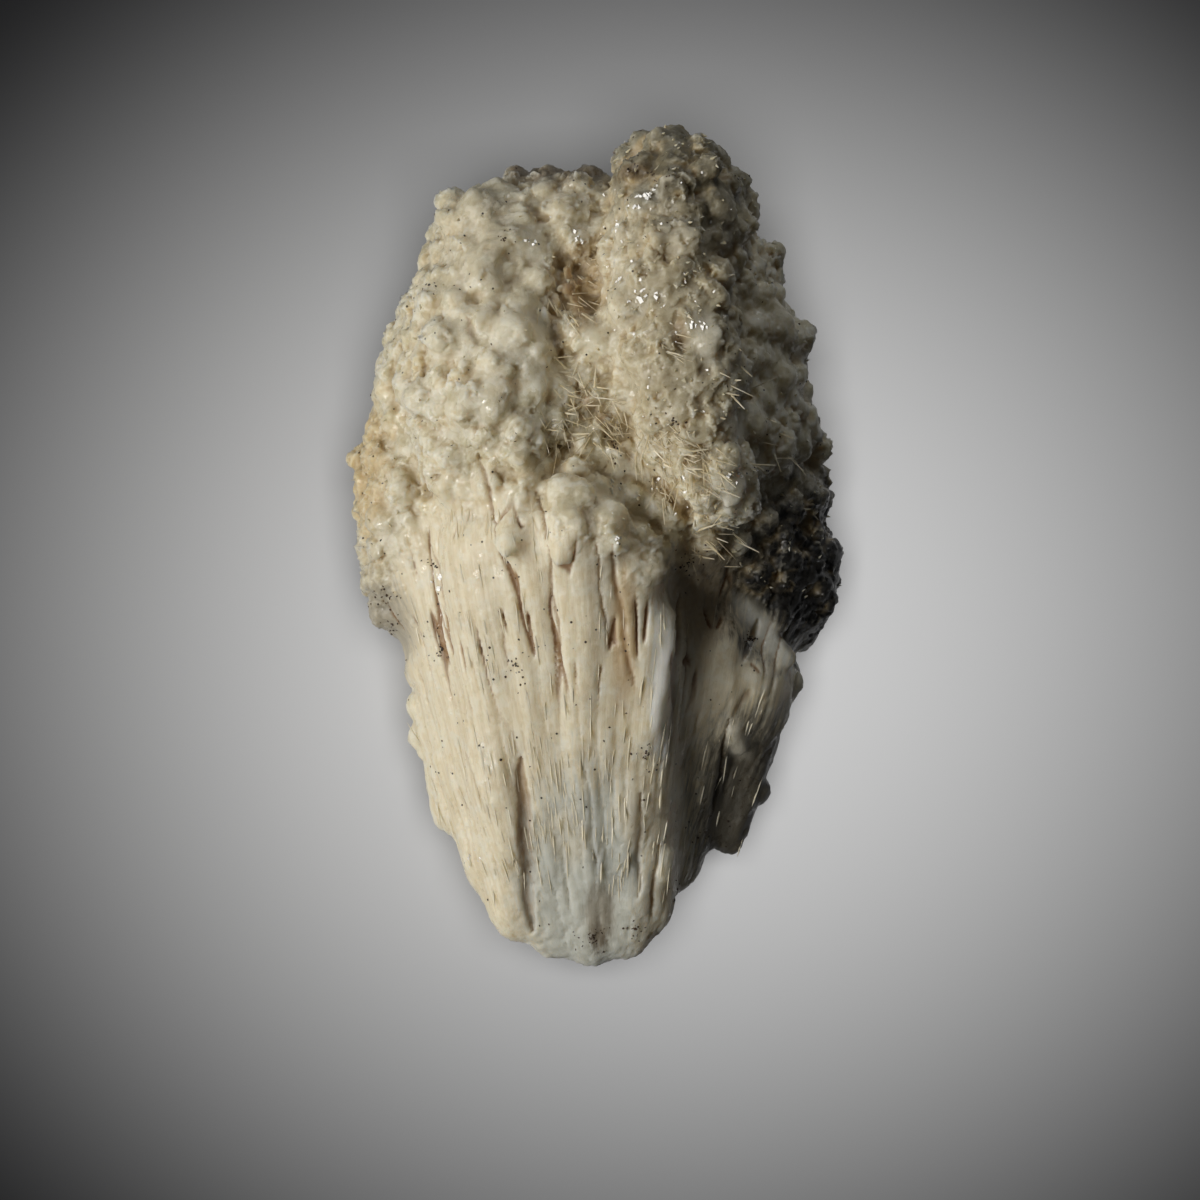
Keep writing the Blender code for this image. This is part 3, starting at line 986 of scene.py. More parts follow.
def triangles_of(mesh: bpy.types.Mesh) -> tuple[np.ndarray, np.ndarray]:
    """Returns a mesh's points and its faces cut into triangles."""
    mesh.calc_loop_triangles()
    corners = np.empty(len(mesh.loop_triangles) * 3, dtype=np.int32)
    mesh.loop_triangles.foreach_get("vertices", corners)
    return points_of(mesh), corners.reshape(-1, 3)


class Recipe:
    """A Geometry Nodes tree with named sizes as inputs."""

    def __init__(self, name: str, sizes: dict[str, float]) -> None:
        """Starts a tree with a geometry input and one input a size."""
        tree = bpy.data.node_groups.new(name, "GeometryNodeTree")
        tree.interface.new_socket("Geometry", in_out="INPUT", socket_type="NodeSocketGeometry")
        tree.interface.new_socket("Geometry", in_out="OUTPUT", socket_type="NodeSocketGeometry")
        self.sizes = sizes
        self.places = {}
        for size in sizes:
            socket = tree.interface.new_socket(size, in_out="INPUT", socket_type="NodeSocketFloat")
            self.places[size] = socket.identifier
        self.tree = tree
        self.bench = NodeBench(tree)
        self.given = self.bench.node("NodeGroupInput")

    def __getitem__(self, name: str) -> Wire:
        """Returns an input by its name."""
        return self.given[name]

    def attribute(self, name: str, kind: str = "FLOAT") -> Wire:
        """Reads a named attribute of the geometry."""
        return self.bench.node("GeometryNodeInputNamedAttribute", {"data_type": kind}, {0: name})[0]

    def stored(self, geometry: Wire, name: str, value: Wire) -> Wire:
        """Stores a number on each point under a name and returns the geometry."""
        settings = {"data_type": "FLOAT", "domain": "POINT"}
        inputs = {"Geometry": geometry, "Name": name, "Value": value}
        return self.bench.node("GeometryNodeStoreNamedAttribute", settings, inputs)[0]

    def chance(self, low: float, high: float, seed: int) -> Wire:
        """A random number for each point."""
        inputs = {2: low, 3: high, 8: seed}
        return self.bench.node("FunctionNodeRandomValue", {"data_type": "FLOAT"}, inputs)[1]

    def leave(self, geometry: Wire, material: bpy.types.Material) -> None:
        """Ends the tree: what it has made is realised and gets its material."""
        real = self.bench.node("GeometryNodeRealizeInstances", {}, {0: geometry})[0]
        inputs = {"Geometry": real, "Material": material}
        dressed = self.bench.node("GeometryNodeSetMaterial", {}, inputs)[0]
        self.bench.node("NodeGroupOutput", {}, {0: dressed})

    def applied(self, mesh: bpy.types.Mesh) -> bpy.types.Mesh:
        """Runs the tree on a mesh, which it uses up, and returns the result as a plain mesh."""
        item = bpy.data.objects.new("carrier", mesh)
        modifier = item.modifiers.new("recipe", "NODES")
        modifier.node_group = self.tree
        for size, value in self.sizes.items():
            modifier[self.places[size]] = float(value)
        return evaluated(item)


@dataclass
class Relief:
    """The fine surface: bulges and pits on the crust, pillars and slits on the curtain."""

    mass: Mass
    bulge_cell: float = 2.7
    bulge_height: float = 0.32
    bead_cell: float = 1.35
    bead_height: float = 0.05
    face_cell: float = 1.8
    face_tilt: float = 0.55
    grain_cell: float = 0.75
    grain_tilt: float = 0.5
    crinkle_height: float = 0.3
    pit_spread: float = 4.2
    pit_depth: float = 0.35
    pillar_width: float = 3.2
    pillar_height: float = 0.14
    strand_width: float = 1.0
    strand_height: float = 0.07
    slit_depth: float = 0.5
    blend: tuple[float, float] = (-8.0, 3.0)
    foot: tuple[float, float] = (0.3, 2.5)
    sight: float = 3.2

    def _crust_height(self, recipe: Recipe, place: Wire) -> Wire:
        """Bulges with leaning faces on them, crinkled, with pits between, in millimetres."""
        bench = recipe.bench
        swirl = bench.node("ShaderNodeTexNoise", {}, {"Vector": place, "Scale": 0.4})["Color"]
        warped = bench.vector_maths("ADD", place, bench.scaled(swirl, 3.0))[0]
        rough = bench.ease(bench.noise(place, 0.19, 1.0), 0.4, 0.62)
        height = 0.0
        for size in ("Bulge", "Bead"):
            inputs = {"Vector": warped, "Scale": 1 / recipe[size + " cell"], "Smoothness": 0.3}
            settings = {"feature": "SMOOTH_F1"}
            far = bench.node("ShaderNodeTexVoronoi", settings, inputs)["Distance"]
            height = height + (1 - far * far * 2.2) * recipe[size + " height"]
        for size in ("Face", "Grain"):
            inputs = {"Vector": warped, "Scale": 1 / recipe[size + " cell"]}
            cells = bench.node("ShaderNodeTexVoronoi", {}, inputs)
            lean = bench.vector_maths("SUBTRACT", cells["Color"], (0.5, 0.5, 0.5))[0]
            offset = bench.vector_maths("SUBTRACT", warped, cells["Position"])[0]
            slope = bench.vector_maths("DOT_PRODUCT", lean, offset)[1]
            height = height + slope * recipe[size + " tilt"] * (0.4 + rough * 0.8)
        pits = bench.noise(place, 1 / recipe["Pit spread"], 2.0, 0.6)
        height = height - bench.ease(pits, 0.43, 0.33) * recipe["Pit depth"]
        crinkle = bench.noise(warped, 1.1, 4.0, 0.62) - 0.5
        return height + crinkle * recipe["Crinkle height"] * (0.6 + rough * 0.8)

    def _curtain_height(self, recipe: Recipe, place: Wire) -> tuple[Wire, Wire]:
        """Pillars of strands with slits between them, in millimetres, and where a slit is."""
        bench = recipe.bench
        origin = self.mass.fan_origin
        offset = bench.vector_maths("SUBTRACT", place, origin)[0]
        reach = bench.vector_maths("LENGTH", offset)[1]
        heading = bench.vector_maths("NORMALIZE", offset)[0]
        sway = bench.node("ShaderNodeTexNoise", {}, {"Vector": place, "Scale": 0.06})["Color"]
        lane = bench.vector_maths("ADD", bench.scaled(heading, 105.0), bench.scaled(sway, 3.0))[0]

        def stretched(share: float) -> Wire:
            """The fan's own coordinates, with the way along it shortened to a share."""
            along = bench.node("ShaderNodeCombineXYZ", {}, {"Y": reach * share})[0]
            flat = bench.scaled(lane, (1.0, 0.0, 1.0))
            return bench.vector_maths("ADD", flat, along)[0]

        def walls(share: float, width: Wire) -> Wire:
            """How far a place is from the wall of its long cell, as a share of the width."""
            inputs = {"Vector": stretched(share), "Scale": 1 / width}
            settings = {"feature": "DISTANCE_TO_EDGE"}
            return bench.node("ShaderNodeTexVoronoi", settings, inputs)["Distance"]

        pillars = walls(0.055, recipe["Pillar width"])
        strands = walls(0.05, recipe["Strand width"])
        height = bench.ease(pillars, 0.0, 0.32) * recipe["Pillar height"]
        height = height + bench.ease(strands, 0.0, 0.34) * recipe["Strand height"]
        gaps = bench.ease(bench.noise(stretched(0.3), 0.3, 1.0), 0.52, 0.6)
        high = bench.ease(bench.node("ShaderNodeSeparateXYZ", {}, {0: place})["Y"], -22.0, -8.0)
        slit = (1 - bench.ease(pillars, 0.01, 0.08)) * gaps * (0.25 + 0.75 * high)
        height = height - slit * recipe["Slit depth"]
        return height + (bench.noise(place, 1.2, 3.0) - 0.5) * 0.3, slit

    def _openness(self, recipe: Recipe, geometry: Wire) -> Wire:
        """How much of the sky a point sees, by rays in fixed directions; 0 to 1."""
        bench = recipe.bench
        normal = bench.node("GeometryNodeInputNormal")[0]
        position = bench.node("GeometryNodeInputPosition")[0]
        start = bench.vector_maths("ADD", position, bench.scaled(normal, 0.05 * MM))[0]
        seen, whole = 0.0, 0.0
        for number in range(SKY_RAYS):
            rise = 1 - 2 * (number + 0.5) / SKY_RAYS
            turn = number * GOLDEN_TURN
            flat = math.sqrt(1 - rise * rise)
            ray = (math.cos(turn) * flat, math.sin(turn) * flat, rise)
            facing = bench.maths("MAXIMUM", bench.vector_maths("DOT_PRODUCT", normal, ray)[1], 0.0)
            inputs = {
                "Target Geometry": geometry,
                "Source Position": start,
                "Ray Direction": ray,
                "Ray Length": self.sight * MM,
            }
            hit = bench.node("GeometryNodeRaycast", {"data_type": "FLOAT"}, inputs)["Is Hit"]
            seen = seen + facing * (1 - hit)
            whole = whole + facing
        return seen / (whole + 0.001)

    def recipe(self, material: bpy.types.Material) -> Recipe:
        """Builds the tree that moves the skin's points and stores what it knows of them."""
        sizes = {
            "Bulge cell": self.bulge_cell,
            "Bulge height": self.bulge_height,
            "Bead cell": self.bead_cell,
            "Bead height": self.bead_height,
            "Face cell": self.face_cell,
            "Face tilt": self.face_tilt,
            "Grain cell": self.grain_cell,
            "Grain tilt": self.grain_tilt,
            "Crinkle height": self.crinkle_height,
            "Pit spread": self.pit_spread,
            "Pit depth": self.pit_depth,
            "Pillar width": self.pillar_width,
            "Pillar height": self.pillar_height,
            "Strand width": self.strand_width,
            "Strand height": self.strand_height,
            "Slit depth": self.slit_depth,
        }
        recipe = Recipe("relief", sizes)
        bench = recipe.bench
        place = bench.scaled(bench.node("GeometryNodeInputPosition")[0], 1 / MM)
        crust = bench.ease(recipe.attribute("depth"), *self.blend)
        curtain, slit = self._curtain_height(recipe, place)
        height = curtain + (self._crust_height(recipe, place) - curtain) * crust
        up = bench.node("ShaderNodeSeparateXYZ", {}, {0: place})["Z"]
        height = height * bench.ease(up, *self.foot) * (1 - 0.75 * recipe.attribute("calm"))
        height = height - recipe.attribute("cut")
        normal = bench.node("GeometryNodeInputNormal")[0]
        offset = bench.node(
            "ShaderNodeVectorMath", {"operation": "SCALE"}, {0: normal, "Scale": height * MM}
        )[0]
        geometry = recipe.stored(recipe["Geometry"], "relief", height)
        geometry = recipe.stored(geometry, "slit", slit * (1 - crust))
        inputs = {"Geometry": geometry, "Offset": offset}
        moved = bench.node("GeometryNodeSetPosition", {}, inputs)[0]
        # Stores how much sky each point sees as open; the material paints shade and brown stain into the
        # hollows by it.
        blur = {0: self._openness(recipe, moved), "Iterations": 2}
        soft = bench.node("GeometryNodeBlurAttribute", {"data_type": "FLOAT"}, blur)[0]
        recipe.leave(recipe.stored(moved, "open", soft), material)
        return recipe


@dataclass
class Skin:
    """The specimen's whole surface, made fine and parted into two closed pieces."""

    mass: Mass
    voxel: float = 0.26
    smoothing: int = 2
    settling: int = 70
    crest_start: float = 33.0
    crest_share: float = 0.6
    parting: float = 6.0
    parting_waves: tuple[tuple[float, float, float], ...] = ((0.9, 0.41, 0.17), (0.7, -0.23, 0.37))
    heart: Triple = (0.0, -2.0, 6.0)
    wall_gap: float = 0.6
    front_budget: int = 198500
    underside_budget: int = 60000
    kept: tuple[str, ...] = ("depth", "calm", "cut", "relief", "slit", "open")

    def _settled(self, mesh: bpy.types.Mesh) -> bpy.types.Mesh:
        """Evens out the folds on the front of the curtain."""
        points = points_of(mesh)
        normals = np.empty(points.size, dtype=np.float32)
        mesh.vertices.foreach_get("normal", normals)
        facing = np.clip(normals.reshape(-1, 3)[:, 2] * 3 - 1, 0, 1)
        bare = np.clip(-self.mass.crust_depth(points) / 2.0, 0, 1)
        weights = bare * facing * (1 - self.mass.calmness(points))
        item = bpy.data.objects.new("folds", mesh)
        group = item.vertex_groups.new(name="curtain")
        for level in (0.25, 0.5, 0.75, 1.0):
            chosen = np.flatnonzero(np.abs(weights - level) <= 0.125)
            group.add(chosen.tolist(), level, "REPLACE")
        even = item.modifiers.new("even", "SMOOTH")
        even.factor = 0.5
        even.iterations = self.settling
        even.vertex_group = group.name
        return evaluated(item)

    def whole(self, material: bpy.types.Material) -> bpy.types.Mesh:
        """Makes the whole skin with its relief and attributes."""
        mesh = self._settled(fused(self.mass.grow(), self.voxel, self.smoothing))
        points = points_of(mesh)
        crest = self.crest_start * MM
        over = np.maximum(points[:, 2] - crest, 0.0)
        points[:, 2] = np.clip(points[:, 2], 0.0, crest) + over * self.crest_share
        mesh.vertices.foreach_set("co", points.ravel())
        store(mesh, "depth", self.mass.crust_depth(points))
        store(mesh, "calm", self.mass.calmness(points))
        store(mesh, "cut", self.mass.cut_depth(points))
        return Relief(self.mass).recipe(material).applied(mesh)

    def _is_front(self, centres: np.ndarray) -> np.ndarray:
        """Tells which triangles, by their centres, belong to the front."""
        x, y, z = centres.T / MM
        waves = sum(tall * np.sin(a * x + b * y) for tall, a, b in self.parting_waves)
        return z > self.parting + waves

    def pieces(self, whole: bpy.types.Mesh) -> Iterator[tuple[str, bpy.types.Mesh]]:
        """Parts the whole into its front and its underside.

        Args:
            whole: The whole skin, in the frame of the table.

        Yields:
            Each piece's name and mesh, in the model's frame.
        """
        points, triangles = triangles_of(whole)
        values = {name: read(whole, name) for name in self.kept}
        front = self._is_front(points[triangles].mean(axis=1))
        parts = (
            ("front", front, self.wall_gap, self.front_budget),
            ("underside", ~front, -self.wall_gap, self.underside_budget),
        )
        for name, taken, rise, budget in parts:
            heart = (Vector(self.heart) + UP * rise) * MM
            corners, faces, source, free = closed_part(points, triangles[taken], heart)
            corners = corners + np.array(self.mass.centring) * MM
            mesh = bpy.data.meshes.new(name)
            mesh.from_pydata(corners, [], faces)
            mesh.polygons.foreach_set("use_smooth", np.arange(len(faces)) < taken.sum())
            for key, numbers in values.items():
                store(mesh, key, numbers[source])
            for material in whole.materials:
                mesh.materials.append(material)
            yield name, thinned(mesh, budget, free)


def closed_part(
    points: np.ndarray, triangles: np.ndarray, heart: Vector
) -> tuple[np.ndarray, np.ndarray, np.ndarray, np.ndarray]:
    """Closes some triangles of a skin by inner walls that run from their rim to one point.

    The walls come after the skin's triangles.

    Args:
        points: The skin's points.
        triangles: The triangles that are taken.
        heart: The point inside the skin.

    Returns:
        The part's points, its triangles, the skin's point that each was, and the points that
        thinning may move.
    """
    used, flat = np.unique(triangles, return_inverse=True)
    faces = flat.reshape(-1, 3)
    count = len(used)
    edges = np.concatenate([faces[:, [0, 1]], faces[:, [1, 2]], faces[:, [2, 0]]])
    keys = edges[:, 0].astype(np.int64) * count + edges[:, 1]
    back = edges[:, 1].astype(np.int64) * count + edges[:, 0]
    rim = edges[~np.isin(keys, back)]
    last = np.full(len(rim), count)
    wall = np.stack([rim[:, 1], rim[:, 0], last], axis=1)
    corners = np.concatenate([points[used], np.array([heart])])
    source = np.concatenate([used, used[:1]])
    free = np.setdiff1d(np.arange(count), rim)
    return corners, np.concatenate([faces, wall]), source, free


def thinned(mesh: bpy.types.Mesh, budget: int, free: np.ndarray) -> bpy.types.Mesh:
    """Thins a mesh of triangles.

    Args:
        mesh: The mesh.
        budget: How many triangles it may keep.
        free: The points that may move; the others stay, so that parts still meet.

    Returns:
        The thinned mesh.
    """
    count = len(mesh.polygons)
    if count <= budget:
        return mesh
    item = bpy.data.objects.new("thick", mesh)
    item.vertex_groups.new(name="free").add(free.tolist(), 1.0, "REPLACE")
    thin = item.modifiers.new("thin", "DECIMATE")
    thin.ratio = budget / count
    thin.vertex_group = "free"
    return evaluated(item)


def read(mesh: bpy.types.Mesh, name: str) -> np.ndarray:
    """Reads the numbers that a mesh stores on its points."""
    values = np.empty(len(mesh.vertices), dtype=np.float32)
    mesh.attributes[name].data.foreach_get("value", values)
    return values


def store(mesh: bpy.types.Mesh, name: str, values: np.ndarray) -> None:
    """Stores one number a point on a mesh."""
    layer = mesh.attributes.new(name, "FLOAT", "POINT")
    layer.data.foreach_set("value", values.astype(np.float32))


class Surface:
    """The finished skin, for small things to be set on."""

    def __init__(self, meshes: Sequence[bpy.types.Mesh]) -> None:
        """Gathers the triangles of the skin's pieces.

        Args:
            meshes: The pieces' meshes.
        """
        points, triangles, depth, opening, count = [], [], [], [], 0
        for mesh in meshes:
            corners, faces = triangles_of(mesh)
            points.append(corners)
            triangles.append(faces + count)
            depth.append(read(mesh, "depth"))
            opening.append(read(mesh, "open"))
            count += len(corners)
        self.points, self.triangles = np.concatenate(points), np.concatenate(triangles)
        self.depth, self.open = np.concatenate(depth), np.concatenate(opening)
        a, b, c = (self.points[self.triangles[:, i]] for i in range(3))
        normals = np.cross(b - a, c - a)
        self.areas = np.linalg.norm(normals, axis=1)
        self.normals = normals / (self.areas[:, None] + 1e-18)
        self.centres = (a + b + c) / 3
        self.centre_depth = self.depth[self.triangles].mean(axis=1)
        self.centre_open = self.open[self.triangles].mean(axis=1)
        self.tree = BVHTree.FromPolygons(self.points.tolist(), self.triangles.tolist())

    def spread(
        self, rng: np.random.Generator, weights: np.ndarray, count: int
    ) -> tuple[np.ndarray, np.ndarray]:
        """Picks places over the skin.

        Args:
            rng: The source of chance.
            weights: How thickly each triangle is set, by area.
            count: How many places are picked.

        Returns:
            The places and the skin's normals there.
        """
        chance = self.areas * weights
        picked = rng.choice(len(chance), size=count, p=chance / chance.sum())
        share = np.sqrt(rng.random((count, 1)))
        side = rng.random((count, 1))
        a, b, c = (self.points[self.triangles[picked, i]] for i in range(3))
        return a * (1 - share) + (b * (1 - side) + c * side) * share, self.normals[picked]

    def under(self, x: float, y: float) -> tuple[Vector, Vector] | None:
        """Returns the place and normal of the front at X and Y in millimetres, if it is there."""
        hit, normal, _, _ = self.tree.ray_cast(Vector((x, y, 0)) * MM + UP * FAR, -UP)
        return (hit, normal) if hit is not None else None


class Grain(Enum):
    """The small shapes that are set over the skin, one unit tall or wide."""

    TOOTH = "tooth"
    NEEDLE = "needle"
    SPINDLE = "spindle"
    SPECK = "speck"
    CHIP = "chip"

    def made(self, bench: NodeBench) -> Wire:
        """Adds the node that makes the shape."""
        if self is Grain.SPECK:
            return bench.node("GeometryNodeMeshIcoSphere", {}, {"Radius": 1.0, "Subdivisions": 1})[0]
        if self is Grain.SPINDLE:
            inputs = {"Segments": 5, "Rings": 4, "Radius": 1.0}
            return bench.node("GeometryNodeMeshUVSphere", {}, inputs)[0]
        if self is Grain.CHIP:
            return bench.node("GeometryNodeMeshCube", {}, {"Size": (1.0, 1.0, 1.0)})[0]
        sides, top = (6, 0.06) if self is Grain.TOOTH else (4, 0.3)
        inputs = {"Vertices": sides, "Radius Top": top, "Radius Bottom": 1.0, "Depth": 1.0}
        return bench.node("GeometryNodeMeshCone", {}, inputs)[0]


@dataclass
class Swarm:
    """Many small shapes of one kind, each with its place, aim, sizes and spin."""

    name: str
    grain: Grain
    places: np.ndarray
    aims: np.ndarray
    sizes: np.ndarray
    spins: np.ndarray

    def mesh(self, material: bpy.types.Material) -> bpy.types.Mesh:
        """Instances the shapes on their places and makes one mesh of them."""
        carrier = bpy.data.meshes.new(self.name)
        carrier.from_pydata(self.places, [], [])
        for name, values in (("aim", self.aims), ("size", self.sizes)):
            layer = carrier.attributes.new(name, "FLOAT_VECTOR", "POINT")
            layer.data.foreach_set("vector", values.astype(np.float32).ravel())
        store(carrier, "spin", self.spins)
        recipe = Recipe(self.name, {"Scale": 1.0})
        bench = recipe.bench
        inputs = {"Vector": recipe.attribute("aim", "FLOAT_VECTOR")}
        aimed = bench.node("FunctionNodeAlignRotationToVector", {"axis": "Z"}, inputs)[0]
        inputs = {"Axis": (0.0, 0.0, 1.0), "Angle": recipe.attribute("spin")}
        spun = bench.node("FunctionNodeAxisAngleToRotation", {}, inputs)[0]
        inputs = {"Rotation": aimed, "Rotate By": spun}
        turned = bench.node("FunctionNodeRotateRotation", {"rotation_space": "LOCAL"}, inputs)[0]
        size = bench.node(
            "ShaderNodeVectorMath",
            {"operation": "SCALE"},
            {0: recipe.attribute("size", "FLOAT_VECTOR"), "Scale": recipe["Scale"]},
        )[0]
        inputs = {
            "Points": recipe["Geometry"],
            "Instance": self.grain.made(bench),
            "Rotation": turned,
            "Scale": size,
        }
        recipe.leave(bench.node("GeometryNodeInstanceOnPoints", {}, inputs)[0], material)
        return recipe.applied(carrier)


def units(vectors: np.ndarray) -> np.ndarray:
    """Returns vectors at length one."""
    return vectors / (np.linalg.norm(vectors, axis=1)[:, None] + 1e-12)


@dataclass
class Sugar:
    """Pointed crystals half sunk in the crust, thickest on the right ridge."""

    surface: Surface
    count: int = 850
    length: tuple[float, float] = (0.5, 1.3)
    width: tuple[float, float] = (0.2, 0.45)
    lean: Triple = (0.25, -0.45, 0.0)
    left_share: float = 0.2
    seed: int = 21

    def swarm(self) -> Swarm:
        """Sets the crystals."""
        rng = np.random.default_rng(self.seed)
        surface, count = self.surface, self.count
        x, y, _ = surface.centres.T / MM
        crust = np.clip((surface.centre_depth + 1.0) / 3.0, 0, 1)
        ridge = np.clip((x - 1.0 - 0.1 * (20.0 - y)) / 4.0, 0, 1)
        side = self.left_share + (1 - self.left_share) * ridge * np.clip((20.0 - x) / 4.0, 0.1, 1)
        weights = crust * side * np.clip(surface.normals[:, 2] * 1.5 - 0.3, 0, 1)
        places, normals = surface.spread(rng, weights, count)
        aims = units(normals + 0.6 * rng.normal(size=(count, 3)) + np.array(self.lean))
        tall = rng.uniform(*self.length, count)
        wide = rng.uniform(*self.width, count)
        sizes = np.stack([wide, wide * rng.uniform(0.5, 1.0, count), tall], axis=1) * MM
        places = places - normals * sizes[:, 2:] * 0.5
        return Swarm("sugar_crystals", Grain.TOOTH, places, aims, sizes, rng.uniform(0, 6.3, count))


@dataclass
class Sparkles:
    """Small crystal faces in the crust that lie so that they catch the light."""

    surface: Surface
    facing: Triple = (-0.46, -0.12, 0.88)
    stray: float = 0.05
    loose: int = 70
    seed: int = 61
    groups: tuple[tuple[tuple[float, float], float, int, float], ...] = (
        ((5.6, 40.5), 0.7, 7, 0.75),
        ((4.4, 39.3), 0.8, 5, 0.7),
        ((-2.2, 36.2), 0.9, 5, 0.6),
        ((2.5, 30.9), 0.6, 3, 0.8),
        ((5.3, 29.3), 1.2, 8, 0.7),
        ((-7.8, 35.5), 0.9, 5, 0.7),
        ((11.6, 25.6), 1.2, 6, 0.6),
        ((1.9, 7.4), 1.3, 8, 0.6),
        ((2.2, 1.1), 0.8, 4, 0.6),
        ((15.8, 7.4), 1.4, 6, 0.6),
        ((-19.0, -3.6), 1.2, 8, 0.5),
        ((-15.4, -36.8), 1.2, 6, 0.35),
        ((18.0, -11.2), 0.8, 4, 0.8),
    )

    def swarm(self) -> Swarm:
        """Sets the faces."""
        rng = random.Random(self.seed)
        spots = []
        for spot, radius, count, size in self.groups:
            spots += [(spot, radius, size * rng.uniform(0.5, 1.0)) for _ in range(count)]
        for _ in range(self.loose):
            along = rng.uniform(4.0, 44.0)
            middle = (8.0 - 0.12 * (along - 20.0) + rng.gauss(0, 5.0), along)
            spots.append((middle, 1.0, rng.uniform(0.15, 0.45)))
        places, aims, sizes, spins = [], [], [], []
        for (x, y), radius, size in spots:
            found = self.surface.under(x + rng.gauss(0, radius / 2), y + rng.gauss(0, radius / 2))
            if found is None:
                continue
            aim = Vector(self.facing) + Vector([rng.gauss(0, self.stray) for _ in range(3)])
            places.append(found[0] - aim.normalized() * size * 0.1 * MM)
            aims.append(aim.normalized())
            sizes.append(Vector((size, size * rng.uniform(0.4, 0.9), size * 0.5)) * MM)
            spins.append(rng.uniform(0, math.tau))
        rows = (np.array(places), np.array(aims), np.array(sizes), np.array(spins))
        return Swarm("bright_faces", Grain.CHIP, *rows)


@dataclass
class CurtainFibres:
    """Long flat splinters that lie along the fan, nearly level with the curtain."""

    surface: Surface
    fan_origin: Triple
    count: int = 300
    length: tuple[float, float] = (2.0, 6.5)
    width: tuple[float, float] = (0.07, 0.18)
    seed: int = 31

    def swarm(self) -> Swarm:
        """Sets the fibres."""
        rng = np.random.default_rng(self.seed)
        surface = self.surface
        y, z = surface.centres[:, 1] / MM, surface.centres[:, 2] / MM
        bare = np.clip((-surface.centre_depth - 0.5) / 3.0, 0, 1)
        facing = np.clip(surface.normals[:, 2] * 4 - 2.4, 0, 1) * np.clip((y + 42) / 3, 0, 1)
        x = surface.centres[:, 0] / MM
        share = np.where(x > 11.0, 0.25, np.where(y < -22.0, 3.0, 1.0))
        weights = bare * facing * np.clip(z / 3 - 2, 0, 1) * share
        places, normals = surface.spread(rng, weights, self.count)
        aims = units(places - np.array(self.fan_origin) * MM)
        aims = units(aims - normals * (aims * normals).sum(axis=1)[:, None])
        aims = units(aims + rng.normal(size=aims.shape) * 0.015)
        long = rng.uniform(*self.length, self.count)
        wide = rng.uniform(*self.width, self.count)
        sizes = np.stack([wide, wide * 0.7, long / 2], axis=1) * MM
        places = places - normals * sizes[:, 1:2] * 0.5
        spins = rng.uniform(0, 6.3, self.count)
        return Swarm("curtain_fibres", Grain.SPINDLE, places, aims, sizes, spins)


@dataclass(frozen=True)
class Nest:
    """A patch of needles: middle and radius on the front, count, mean aim and spread."""

    spot: tuple[float, float]
    radius: float
    count: int
    aim: Triple
    spread: float
    length: tuple[float, float] = (1.2, 3.6)


@dataclass
class Needles:
    """Fine needles that stand in the hollows and under the ridge."""

    surface: Surface
    width: tuple[float, float] = (0.07, 0.18)
    seed: int = 41
    nests: tuple[Nest, ...] = (
        Nest((-1.6, 33.0), 1.6, 7, (0.8, -0.5, 0.5), 0.20),
        Nest((-2.4, 28.0), 2.0, 15, (0.3, -0.7, 0.6), 0.32),
        Nest((-6.0, 28.0), 1.2, 5, (0.2, -0.9, 0.4), 0.24),
        Nest((-5.0, 20.0), 2.6, 11, (0.3, -0.3, 0.8), 0.56),
        Nest((-0.6, 15.4), 3.8, 80, (0.4, -0.4, 0.7), 0.64),
        Nest((-4.0, 13.0), 2.6, 23, (-0.4, -0.5, 0.7), 0.48),
        Nest((3.4, 12.6), 2.6, 27, (0.4, -0.6, 0.6), 0.48),
        Nest((8.4, 23.0), 1.6, 10, (0.8, -0.4, 0.4), 0.20),
        Nest((8.2, 12.0), 2.6, 35, (0.55, -0.6, 0.5), 0.32),
        Nest((12.0, 9.0), 3.0, 52, (0.5, -0.7, 0.45), 0.32),
        Nest((7.6, 7.4), 2.0, 23, (0.2, -0.9, 0.4), 0.28),
        Nest((16.6, 20.0), 3.0, 8, (0.9, -0.3, 0.4), 0.28),
        Nest((19.6, 12.0), 3.4, 12, (0.8, -0.4, 0.5), 0.40),
        Nest((13.6, 1.0), 3.4, 29, (0.6, -0.4, 0.7), 0.64),
        Nest((-16.4, 2.6), 1.6, 7, (0.1, 1.0, 0.2), 0.10),
        Nest((-12.0, 4.0), 1.4, 5, (0.1, -1.0, 0.25), 0.12),
    )

    def swarm(self) -> Swarm:
        """Sets the needles."""
        rng = random.Random(self.seed)
        places, aims, sizes = [], [], []
        for nest in self.nests:
            for _ in range(nest.count):
                turn, far = rng.uniform(0, math.tau), nest.radius * math.sqrt(rng.random())
                x, y = nest.spot
                found = self.surface.under(x + far * math.cos(turn), y + far * math.sin(turn))
                if found is None:
                    continue
                point, normal = found
                stray = Vector([rng.gauss(0, nest.spread) for _ in range(3)])
                heading = Vector((nest.aim[0], nest.aim[1], nest.aim[2] * 0.35))
                aim = (heading + normal * 0.1 + stray).normalized()
                if aim.dot(normal) < 0.1:
                    aim = (aim + normal * (0.16 - aim.dot(normal))).normalized()
                wide, long = rng.uniform(*self.width), rng.uniform(*nest.length)
                places.append(point - aim * 0.3 * MM)
                aims.append(aim)
                sizes.append(Vector((wide, wide * 0.6, long)) * MM)
        spins = np.array([rng.uniform(0, 6.3) for _ in places])
        rows = (np.array(places), np.array(aims), np.array(sizes))
        return Swarm("needles", Grain.NEEDLE, *rows, spins)


